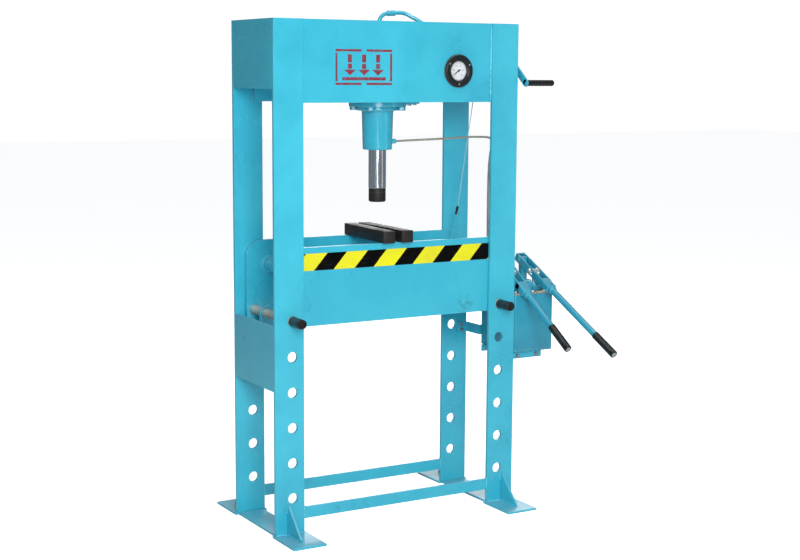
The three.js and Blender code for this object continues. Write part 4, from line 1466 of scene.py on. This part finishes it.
# ------------------------------------------------------------------ winch
@dataclass
class Winch:
    """The rope winch under the right end of the beam, and its rope and hook."""

    y: float = -53.0
    z: float = 1706.0
    left: float = 398.0
    right: float = 470.0
    drum: float = 43.0
    cheek: float = 56.0
    arm_x: float = 510.0
    arm_end: tuple[float, float] = (-201.0, 1586.0)
    eye: Triple = (368.0, 85.0, 984.0)

    def build(self) -> None:
        """Make the drum, the crank, its grip, the rope and its hook."""
        self.drum_and_crank()
        self.grip()
        self.rope()
        self.hook()

    def drum_and_crank(self) -> None:
        """Turn the drum and axle, shape the arm, and wind the rope on the drum."""
        origin, x_axis = (0.0, self.y, self.z), Axis.X.vector
        rim, left, right = self.cheek, self.left, self.right
        spool = [
            (rim - 1, left), (rim, left + 1), (rim, left + 3.2), (rim - 1, left + 4),
            (self.drum, left + 4), (self.drum, right - 4), (rim - 1, right - 4), (rim, right - 3.2),
            (rim, right - 1), (rim - 1, right),
        ]
        axle = [(9.0, left - 8), (10.0, left - 7), (10.0, 523.0), (9.0, 524.0)]
        nut = [(11.6, 516.2), (12.4, 517.0), (12.4, 522.0), (11.0, 523.4)]
        boss = [(17.0, 500.0), (17.0, 509.8)]
        rounds = (
            ("spool", spool, 72), ("axle", axle, 32), ("axle_nut", nut, 6), ("boss", boss, 40)
        )
        parts = [turned(name, origin, x_axis, profile, sides) for name, profile, sides in rounds]
        end_y, end_z = self.arm_end
        reach = math.hypot(end_y - self.y, end_z - self.z)
        tilt = math.atan2(end_z - self.z, end_y - self.y)
        x = self.arm_x
        arm = rounded("arm", (x, self.y, self.z - 14), (x + 6, self.y + reach, self.z + 14), 0.8)
        parts.append(swung(arm, (0, self.y, self.z), x_axis, tilt))
        disc = [(13.2, 0.0), (14.0, 0.8), (14.0, 5.2), (13.2, 6.0)]
        for y, z in ((self.y, self.z), (end_y, end_z)):
            parts.append(turned("arm_end", (x, y, z), x_axis, disc, 40))
        parts.append(turned("grip_pin", (x, end_y, end_z), x_axis, [(5.0, 1.0), (5.0, 104.0)], 24))
        done(joined("winch_drum_and_arm", parts), Finish.PUMP, "crank", ["winch_crank"], angle=28.0)
        wraps, count, per = [], 11, 28
        for i in range(count * per + 1):
            turn = -2 * math.pi * i / per
            x = self.left + 8 + i / per * 4.3
            r = self.drum + 2.0
            wraps.append(at(x, self.y + r * math.sin(turn), self.z + r * math.cos(turn)))
        done(tube("drum_wraps", wraps, 1.9, turns=2), Finish.ROPE, "crank", angle=50.0)

    def grip(self) -> None:
        """Turn the grip with its finger swells."""
        start = self.arm_x + 7.5
        profile = [(5.4, 0.0), (10.0, 0.0), (11.4, 1.5)]
        for k in range(13):
            z = 6.0 + k * 8.6
            profile.append((12.0 - 0.9 * (k % 2), z))
        profile += [(11.6, 114.0), (9.0, 118.0), (5.4, 118.0), (5.4, 0.0)]
        origin = (start, *self.arm_end)
        grip = turned("crank_hand_grip", origin, Axis.X.vector, profile, 40, True)
        plug = turned(
            "grip_plug", origin, Axis.X.vector, [(5.6, 112.0), (5.6, 117.4), (4.6, 118.0)], 24
        )
        done(
            joined("crank_hand_grip", [grip, plug]), Finish.GRIP, "crank_handle", ["crank_grip"],
            angle=38.0
        )

    def rope(self) -> None:
        """Lay three strands round each other from the drum to the hook."""
        top = at(440.0, self.y + 45.0 + 2.3, self.z)
        low = at(self.eye[0] + 27.7, self.eye[1] - 13.2, self.eye[2] + 131)
        line = (low - top).normalized()
        across = line.orthogonal().normalized()
        other = line.cross(across)
        length = (low - top).length
        per_turn = 10
        steps = int(length / (14.0 * MM) * per_turn)
        strands = []
        for strand in range(3):
            route = []
            for i in range(steps + 1):
                turn = 2 * math.pi * (i / per_turn + strand / 3)
                middle_at = top + line * (length * i / steps)
                route.append(
                    middle_at + (across * math.cos(turn) + other * math.sin(turn)) * 0.95 * MM
                )
            strands.append(tube("strand", route, 1.05, turns=1))
        rope = joined("lifting_rope", strands)
        done(rope, Finish.ROPE, None, ["rope"], angle=70.0)
        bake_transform(rope)

    def hook(self) -> None:
        """Make the hook rod, its crimp and its foot on the table's spacer."""
        x, y, z = self.eye
        rod_piece = rod("hook_rod", (x, y, 958.5), (x + 27.0, y - 12.8, z + 127), 3.5, 24)
        foot = turned(
            "hook_foot", (x, y, 959.3), Axis.Z.vector, [(6.0, 0.0), (6.0, 6.0), (4.2, 8.0)], 24
        )
        done(joined("rope_hook_rod", [rod_piece, foot]), Finish.TABLE, "table", ["rope_hook"])
        start, end = Vector((x + 22.0, y - 10.4, z + 99)), Vector((x + 27.6, y - 13.1, z + 130.4))
        reach = (end - start).length
        crimp = turned(
            "rope_crimp",
            tuple(start),
            end - start,
            [
                (4.2, 0.0), (5.0, 1.0), (5.0, 8.0), (4.4, 9.0), (4.4, 12.0), (5.0, 13.0),
                (5.0, reach - 1), (4.2, reach)
            ],
            24,
        )
        done(crimp, Finish.GRIP, "table")


# ------------------------------------------------------------------ table
@dataclass
class WorkTable:
    """The table that hangs on the pins, with its spacers, tape, pins and blocks."""

    front: float = -156.0
    inner: float = 141.0
    spacer_x: float = 368.0
    spacer_z: float = 929.0
    spacer: float = 30.0
    pin_x: float = 430.0
    pin_z: float = 766.0
    blocks: tuple[tuple[str, float, float], ...] = (("left", -36.5, 4.3), ("right", 30.5, 1.6))

    def build(self) -> None:
        """Make every piece."""
        paint(Finish.TABLE, "table_plate_front", "table_plate_back")
        self.tape()
        self.spacers()
        self.pins()
        self.press_blocks()
        self.wire_hook()

    def tape(self) -> None:
        """Stick the striped tape along the front plate."""
        strip = block(
            "hazard_strip", (-440.0, self.front - 0.45, 936.0), (440.0, self.front - 0.05, 996.0)
        )
        done(soften(strip, 0.15, 1), Finish.TAPE, "table")

    def spacers(self) -> None:
        """Turn the two spacer tubes and weld them to the plates."""
        for side, sign in (("left", -1), ("right", 1)):
            reach, r = self.inner - 0.3, self.spacer
            wall = [(r - 4, -reach), (r, -reach), (r, reach), (r - 4, reach), (r - 4, -reach)]
            centre = (sign * self.spacer_x, 0.0, self.spacer_z)
            pipe = turned(f"spacer_tube_{side}", centre, Axis.Y.vector, wall, 64, True)
            done(soften(pipe, 0.6, 1), Finish.TABLE, "table", [f"table_spacer_{side}"], angle=25.0)
            rings = [
                ring_bead("ring", (centre[0], y, centre[2]), Axis.Y.vector, r + 0.6, 3.0)
                for y in (-reach + 1.6, reach - 1.6)
            ]
            done(joined(f"spacer_welds_{side}", rings), Finish.WELD, "table", angle=60.0)

    def pins(self) -> None:
        """Turn the two pins and their grips."""
        for side, sign in (("left", -1), ("right", 1)):
            origin = (sign * self.pin_x, 0.0, self.pin_z)
            profile = [
                (13.2, -240.0), (14.0, -239.0), (14.0, -173.2), (16.8, -173.0), (17.5, -172.2),
                (17.5, 174.5), (16.6, 176.4), (14.6, 178.0),
            ]
            done(
                turned(f"table_pin_{side}", origin, Axis.Y.vector, profile, 48),
                Finish.BARE,
                f"{side}_pin",
                [f"pin_{side}"],
                angle=24.0,
            )
            self.pin_grip(side, origin)

    def pin_grip(self, side: str, origin: Triple) -> None:
        """Turn one pin's grip, open at the left and closed at the right."""
        near, far = -173.3, -248.3
        skin = [
            (14.3, near), (16.3, near), (17.3, near - 1.2), (17.3, near - 12), (16.7, near - 13.0)
        ]
        skin += [
            (16.7, near - 16.0), (17.3, near - 17.0), (17.3, far + 17), (16.7, far + 16),
            (16.7, far + 13)
        ]
        skin += [(17.3, far + 12), (17.3, far + 2.6), (16.6, far + 0.8), (15.6, far)]
        name = f"pin_hand_grip_{side}"
        if side == "left":
            skin += [(14.6, far), (14.3, far + 0.4), (14.3, near)]
            grip = turned(name, origin, Axis.Y.vector, skin, 48, True)
            done(grip, Finish.GRIP, "left_pin", ["pin_grip_left"], angle=28.0)
            disc = [(13.8, -241.4), (13.9, -240.8), (13.9, -240.1)]
            rust = turned("pin_rusty_end", origin, Axis.Y.vector, disc, 40)
            done(rust, Finish.RUST, "left_pin")
            return
        skin += [(8.0, far), (6.0, far + 0.8)]
        skin = [(14.3, -240.6), *skin]
        grip = turned(name, origin, Axis.Y.vector, skin, 48)
        done(grip, Finish.GRIP, "right_pin", ["pin_grip_right"], angle=28.0)

    def press_blocks(self) -> None:
        """Saw the two press blocks and turn each a little on the table."""
        for side, x, angle in self.blocks:
            low, high = 1018.3, 1061.3
            bar = block(f"press_block_{side}", (x - 22.5, -179.0, low), (x + 22.5, 167.0, high))
            soften(bar, 1.6, 2)
            swung(bar, (x, -6.0, low), Axis.Z.vector, -math.radians(angle))
            done(bar, Finish.OILED, f"{side}_block", [f"block_{side}"])

    def wire_hook(self) -> None:
        """Bend the painted wire that hangs from the spacer tube over the left pin."""
        y = 44.0
        route = [
            (-368.0, y, 897.0), (-369.0, y, 870.0), (-374.0, y, 845.0), (-386.0, y, 821.0),
            (-401.0, y, 804.0), (-416.0, y, 794.0), (-430.0, y, 789.0), (-443.0, y, 785.0),
            (-451.0, y, 773.0), (-451.0, y, 757.0), (-446.0, y, 742.0), (-446.0, y, 728.0),
        ]
        wire = tube("table_wire_hook", smooth_route(route, 5), 3.4, turns=3)
        done(wire, Finish.TABLE, "table", angle=45.0)


# ------------------------------------------------------------------ hand pump
@dataclass
class Lever:
    """One pump lever with its grip and its plunger."""

    number: str
    word: str
    x: float
    pivot_z: float
    end_y: float
    end_z: float
    pivot_y: float = -16.0
    plunger_y: float = -92.0
    half: float = 20.0
    plate: float = 6.0
    deep: float = 15.0
    fork: float = 178.0
    socket: float = 212.0
    tube_radius: float = 12.5
    slope: float = field(init=False)
    length: float = field(init=False)

    def __post_init__(self) -> None:
        """Work out the lever's slope and length."""
        run, drop = self.pivot_y - self.end_y, self.pivot_z - self.end_z
        self.slope = math.atan2(drop, run)
        self.length = math.hypot(run, drop)

    @property
    def pivot(self) -> Triple:
        """Give the lever's pivot."""
        return (self.x, self.pivot_y, self.pivot_z)

    def spot(self, x: float, y: float, z: float) -> Triple:
        """Give a point measured from the pivot, on the unlowered lever."""
        return (self.x + x, self.pivot_y + y, self.pivot_z + z)

    def lowered(self, piece: Piece) -> Piece:
        """Lower a piece about the pivot to the lever's slope."""
        return swung(piece, self.pivot, Axis.X.vector, self.slope)

    def build(self) -> None:
        """Make the fork, the tube, the grip and the plunger."""
        body = f"lever_{self.word}"
        parts = []
        for side in (-1, 1):
            x0, x1 = sorted((side * (self.half - self.plate), side * self.half))
            cheek = block(
                "cheek", self.spot(x0, -self.fork, -self.deep), self.spot(x1, 22, self.deep)
            )
            slot = block("tool", self.spot(x0 - 1, -100, -9.6), self.spot(x1 + 1, -69, 9.6))
            parts.append(soften(carve(cheek, slot), 1.0, 2))
            flat = [(11.4, 0.0), (12.0, 0.6), (12.0, 2.2), (10.6, 3.0)]
            parts.append(
                turned("washer", self.spot(side * self.half, 0, 0), Vector((side, 0, 0)), flat, 32)
            )
            nut = [(9.4, 0.0), (9.8, 0.6), (9.8, 5.2), (8.6, 6.0)]
            parts.append(
                turned("pivot_nut", self.spot(side * self.half, 0, 0), Vector((side, 0, 0)), nut, 6)
            )
        parts.append(
            rod("pivot_bar", self.spot(-self.half, 0, 0), self.spot(self.half, 0, 0), 6.0, 32)
        )
        web = block(
            "web", self.spot(-self.half, 20, -self.deep + 4), self.spot(self.half, 26, self.deep)
        )
        parts.append(soften(web, 2.0, 3))
        low, high = self.spot(-self.half, -self.socket, -13), self.spot(
            self.half, -self.fork + 24, 13
        )
        parts.append(rounded("socket", low, high, 3.0, 3))
        mouth = [
            (15.4, self.socket - 2), (16.6, self.socket), (16.6, self.socket + 12),
            (13.4, self.socket + 15)
        ]
        parts.append(turned("socket_mouth", self.pivot, Axis.FRONT.vector, mouth, 40))
        shaft = [(self.tube_radius, self.socket - 16), (self.tube_radius, self.length - 6)]
        parts.append(turned("shaft", self.pivot, Axis.FRONT.vector, shaft, 40))
        screw = hex_bolt(
            "socket_screw", self.spot(0, -self.socket + 18, 13), Axis.Z.vector, 10.0, 6.0
        )
        parts.append(screw)
        whole = self.lowered(joined(f"pump_lever_{self.number}", parts))
        done(whole, Finish.PUMP, body, [f"lever_{self.number}"], angle=30.0)
        self.grip(body)
        self.plunger()

    def grip(self, body: str) -> None:
        """Turn the ribbed grip and its light end cap."""
        start = self.length - 122.0
        profile = [(12.8, start), (13.9, start), (14.5, start + 1)]
        for k in range(14):
            base = start + 5 + k * 7.8
            profile += [(14.5, base), (13.6, base + 1.2), (13.6, base + 2.8), (14.5, base + 4.0)]
        profile += [(14.5, self.length - 1), (13.6, self.length + 2.2), (11.0, self.length + 3.6)]
        sleeve = turned(f"ribbed_grip_{self.number}", self.pivot, Axis.FRONT.vector, profile, 40)
        done(self.lowered(sleeve), Finish.GRIP, body, [f"lever_grip_{self.number}"], angle=28.0)
        cap = [(9.6, self.length + 3.2), (9.6, self.length + 3.7), (8.8, self.length + 4.0)]
        disc = turned(f"grip_end_{self.number}", self.pivot, Axis.FRONT.vector, cap, 32)
        done(self.lowered(disc), Finish.BOLT, body)

    def plunger(self) -> None:
        """Turn the plunger, its eye and its cross pin."""
        eye_z = self.pivot_z - (self.pivot_y - self.plunger_y) * math.tan(self.slope)
        x, y = self.x, self.plunger_y
        stem = turned(
            "stem", (x, y, 0), Axis.Z.vector, [(7.4, 748.0), (8.0, 749.0), (8.0, eye_z)], 32
        )
        eye = rounded("eye", (x - 10, y - 10, eye_z - 9), (x + 10, y + 10, eye_z + 9), 2.4, 3)
        pin = rod("cross", (x - 25, y, eye_z), (x + 25, y, eye_z), 5.0, 24, 0.8)
        whole = joined(f"pump_plunger_{self.number}", [stem, eye, pin])
        done(whole, Finish.BARE, f"plunger_{self.word}", [f"plunger_{self.number}"], angle=28.0)


@dataclass
class HandPump:
    """The tank, its cover, the pump body, the knob and both levers."""

    left: float = 506.0
    right: float = 681.0
    front: float = -164.0
    back: float = 65.0
    bottom: float = 571.0
    top: float = 791.0
    plunger_y: float = -92.0
    levers: tuple[Lever, ...] = (
        Lever("1", "one", 540.0, 914.0, -457.0, 631.0),
        Lever("2", "two", 643.0, 904.0, -592.0, 624.0),
    )

    def build(self) -> None:
        """Make every piece."""
        paint(Finish.FRAME, "pump_shelf", "pump_strap")
        self.tank()
        self.cover()
        self.castings()
        self.knob()
        self.fasteners()
        for lever in self.levers:
            lever.build()

    def tank(self) -> None:
        """Fold the tank from sheet, with soft corners and a seam near its foot."""
        shell = block(
            "oil_tank", (self.left, self.front, self.bottom), (self.right, self.back, self.top)
        )
        hold(shell)
        bpy.ops.object.mode_set(mode="EDIT")
        bpy.ops.mesh.select_mode(type="EDGE")
        bpy.ops.mesh.select_all(action="DESELECT")
        mesh = bmesh.from_edit_mesh(shell.data)
        for edge in mesh.edges:
            a, b = edge.verts
            edge.select_set(abs(a.co.z - b.co.z) > 0.1)
        bmesh.update_edit_mesh(shell.data)
        bpy.ops.mesh.bevel(offset=4.0 * MM, segments=4, affect="EDGES")
        bpy.ops.object.mode_set(mode="OBJECT")
        pick_faces(shell, lambda middle_at, normal: normal.z > 0.5)
        bpy.ops.mesh.inset(thickness=3.0 * MM)
        bpy.ops.mesh.extrude_region_move(
            TRANSFORM_OT_translate={"value": (0.0, 0.0, -(self.top - self.bottom - 3) * MM)}
        )
        bpy.ops.object.mode_set(mode="OBJECT")
        soften(shell, 1.0, 2, 50.0)
        seam = [
            at(x, y, self.bottom + 6.0)
            for x, y in (
                (self.left + 4, self.front), (self.right - 4, self.front),
                (self.right, self.front + 4), (self.right, self.back - 4),
                (self.right - 4, self.back), (self.left + 4, self.back), (self.left, self.back - 4),
                (self.left, self.front + 4), (self.left + 4, self.front),
            )
        ]
        hem = tube("tank_hem", seam, 1.6, turns=2)
        done(joined("oil_tank", [shell, hem]), Finish.PUMP, "frame", ["pump_tank"], angle=35.0)

    def cover(self) -> None:
        """Cut the cover plate, drilled for the barrels."""
        low, y = self.top + 0.3, self.plunger_y
        corner, far = (self.left - 3, self.front - 3, low), (self.right + 3, self.back + 3, low + 6)
        plate = block("tank_cover", corner, far)
        wells = [rod("tool", (v.x, y, low - 5), (v.x, y, low + 11), 22.0, 48) for v in self.levers]
        done(soften(carve(plate, *wells), 1.0, 2), Finish.ZINC, "frame", ["pump_cover"])

    def castings(self) -> None:
        """Shape the pump's base, barrels, gland nuts, posts and valve block."""
        low, up = self.top + 6.6, Axis.Z.vector
        parts = [rounded("pump_base", (516, -122, low), (668, 12, low + 15), 2.5, 3)]
        barrel = [(20.0, 735.0), (21.0, 737.0), (21.0, 822.0), (19.0, 828.0), (9.0, 828.0)]
        barrel += [(8.6, 826.0), (8.6, 760.0)]
        gland = [(20.6, 806.0), (21.8, 807.0), (21.8, 816.0), (20.4, 818.0)]
        for lever in self.levers:
            x, foot = lever.x, (lever.x, self.plunger_y, 0)
            parts += [
                turned("barrel", foot, up, barrel, 48),
                turned("gland", foot, up, gland, 6),
                rounded("post", (x - 13, -28, low + 5), (x + 13, -4, lever.pivot_z + 12), 3.0, 3),
                rounded("rib", (x - 4, -70, low + 14), (x + 4, -28, low + 34), 2.0),
            ]
        cap = [(9.4, -1.0), (9.4, 2.6), (8.2, 3.4)]
        relief = [(9.0, -1.0), (9.0, 5.0), (5.0, 7.0), (5.0, 12.0)]
        parts += [
            rounded("outlet", (578, -20, low + 5), (614, 16, low + 50), 2.5, 3),
            rounded("valve", (578, -122, low + 5), (610, -82, 836), 2.5, 3),
            rod("spindle", (594, -129, 822), (594, -112, 822), 5.0, 24),
            turned("valve_gland", (594, -122, 822), Axis.FRONT.vector, cap, 6),
            turned("relief", (596, -2, low + 50), up, relief, 6),
        ]
        done(joined("pump_castings", parts), Finish.PUMP, "frame", ["pump_body"], angle=30.0)

    def knob(self) -> None:
        """Turn the release knob and flute its rim."""
        profile = [(5.4, 6.0), (5.4, 0.0), (12.0, 0.0), (13.0, 1.0), (13.0, 14.0), (11.6, 17.0)]
        profile += [(9.6, 18.0), (4.0, 18.0), (3.0, 17.2)]
        wheel = turned("release_wheel", (594, -126.3, 822), Axis.FRONT.vector, profile, 48)
        flutes = []
        for k in range(10):
            turn = 2 * math.pi * k / 10
            x, z = 594 + 14.4 * math.cos(turn), 822 + 14.4 * math.sin(turn)
            flutes.append(rod("tool", (x, -125.0, z), (x, -147.0, z), 2.6, 16))
        done(carve(wheel, *flutes), Finish.PUMP, "valve_knob", ["release_knob"], angle=28.0)

    def fasteners(self) -> None:
        """Fit the cover screws, the shelf and strap bolts and the filler plug."""
        low, up = self.top + 6.3, Axis.Z.vector
        screws = [(x, y, low) for x in (516.0, 594.0, 671.0) for y in (-154.0, 55.0)]
        seats = [
            (530.0, -150.0, 555.0), (615.0, -150.0, 555.0), (470.0, 152.6, 616.0),
            (470.0, 152.6, 636.0)
        ]
        heads = [hex_bolt("cover_bolt", seat, up, 10.0, 6.0) for seat in screws]
        heads += [hex_bolt("shelf_bolt", seat, Axis.FRONT.vector, 13.0, 8.0) for seat in seats]
        plug = [(13.0, 0.0), (13.0, 7.0), (9.0, 9.0), (9.0, 16.0), (7.6, 17.4)]
        heads.append(turned("filler", (660, 36, low), up, plug, 24))
        done(joined("pump_fasteners", heads), Finish.BOLT, "frame", angle=28.0)


# ------------------------------------------------------------------ the studio
@dataclass
class Studio:
    """The floor, the lights and the camera."""

    eye: Triple = (-2671.3, -4742.6, 1613.4)
    yaw: float = 30.291
    pitch: float = 7.851
    roll: float = 0.337
    lens: float = 67.0
    sensor: float = 36.0
    ambient: float = 0.21
    floor_lift: float = 0.80

    def build(self) -> None:
        """Set up the whole studio."""
        self.camera()
        self.world()
        self.floor()
        self.lights()

    def camera(self) -> None:
        """Place the camera at its eye point, looking along yaw and pitch."""
        yaw, pitch, roll = (math.radians(v) for v in (self.yaw, self.pitch, self.roll))
        forward = Vector(
            (math.sin(yaw) * math.cos(pitch), math.cos(yaw) * math.cos(pitch), -math.sin(pitch))
        )
        level = Vector((math.cos(yaw), -math.sin(yaw), 0.0))
        above = level.cross(forward)
        right = level * math.cos(roll) + above * math.sin(roll)
        up = above * math.cos(roll) - level * math.sin(roll)
        data = bpy.data.cameras.new("studio_camera")
        data.lens, data.sensor_width, data.sensor_fit = self.lens, self.sensor, "HORIZONTAL"
        data.clip_end = 200.0
        camera = bpy.data.objects.new("studio_camera", data)
        bpy.context.scene.collection.objects.link(camera)
        turn = Matrix((right, up, -forward)).transposed().to_4x4()
        camera.matrix_world = Matrix.Translation(at(*self.eye)) @ turn
        bpy.context.scene.camera = camera

    def world(self) -> None:
        """Light the room softly, with a white wall behind the object."""
        scene = bpy.context.scene
        scene.view_settings.view_transform = "Standard"
        world = bpy.data.worlds.new("studio_world")
        scene.world = world
        world.use_nodes = True
        tree = world.node_tree
        tree.nodes.clear()
        soft = put(
            tree, "ShaderNodeBackground",
            {"Color": (0.86, 0.93, 1.0, 1.0), "Strength": self.ambient}
        )
        wall = put(tree, "ShaderNodeBackground", {"Color": WHITE, "Strength": 1.05})
        seen = put(tree, "ShaderNodeLightPath").outputs["Is Camera Ray"]
        mix = put(tree, "ShaderNodeMixShader", {0: seen, 1: soft.outputs[0], 2: wall.outputs[0]})
        put(tree, "ShaderNodeOutputWorld", {"Surface": mix.outputs[0]})

    def floor(self) -> None:
        """Lay a wide pale floor."""
        clear()
        bpy.ops.mesh.primitive_plane_add(size=60.0, location=(0.0, 0.0, -0.0005))
        floor = named("studio_floor")
        material, tree, shader = start_material("pale_floor")
        clouds, _ = paint_drift(tree, 0.6, 12.0)
        tone = blend_colour(tree, clouds, (0.80, 0.805, 0.81), (0.84, 0.845, 0.85))
        rough = spread(tree, clouds, 0.3, 0.7, 0.75, 0.85)
        feed(tree, shader, Base_Color=tone, Roughness=rough)
        lift = put(tree, "ShaderNodeEmission", {"Color": WHITE})
        seen = put(tree, "ShaderNodeLightPath").outputs["Is Camera Ray"]
        tree.links.new(sums(tree, "MULTIPLY", seen, self.floor_lift), lift.inputs["Strength"])
        both = put(tree, "ShaderNodeAddShader", {0: shader.outputs[0], 1: lift.outputs[0]})
        tree.links.new(both.outputs[0], tree.nodes["Material Output"].inputs["Surface"])
        floor.data.materials.append(material)

    @staticmethod
    def lamp(
        name: str, spot: Triple, target: Triple, size: tuple[float, float], watts: float
    ) -> None:
        """Hang one soft white lamp.

        Args:
            name: the lamp's name.
            spot: where it hangs, in metres.
            target: what it points at.
            size: its width and height.
            watts: its power.
        """
        data = bpy.data.lights.new(name, "AREA")
        data.shape = "RECTANGLE"
        data.size, data.size_y = size
        data.energy = watts
        lamp = bpy.data.objects.new(name, data)
        lamp.location = spot
        lamp.rotation_mode = "QUATERNION"
        lamp.rotation_quaternion = (Vector(target) - Vector(spot)).to_track_quat("-Z", "Y")
        bpy.context.scene.collection.objects.link(lamp)

    def lights(self) -> None:
        """Hang the key, the two cards, the top and the back lamps."""
        self.lamp("key_lamp", (-2.1, -4.5, 2.65), (-0.1, 0.0, 0.95), (2.4, 2.4), 212.0)
        self.lamp("card_lamp", (-2.3, -4.2, 1.7), (-0.1, 0.1, 1.2), (0.9, 2.6), 12.0)
        self.lamp("side_card", (3.2, -3.6, 1.6), (0.0, 0.0, 1.2), (0.7, 2.6), 5.0)
        self.lamp("top_lamp", (0.3, -0.6, 5.2), (0.0, 0.0, 0.0), (4.5, 4.5), 85.0)
        self.lamp("back_lamp", (3.4, 4.8, 3.2), (0.0, 0.0, 1.0), (3.0, 3.0), 110.0)


def main() -> None:
    """Build the studio and every sub-assembly in order."""
    logging.basicConfig(level=logging.INFO, format="%(message)s")
    for part in (
        Studio(),
        ColumnFrame(),
        StencilMark(),
        PressCylinder(),
        PressureGauge(),
        Lines(),
        Winch(),
        WorkTable(),
        HandPump(),
    ):
        part.build()
        LOG.info("built %s", type(part).__name__)
    clear()


if __name__ == "__main__":
    main()
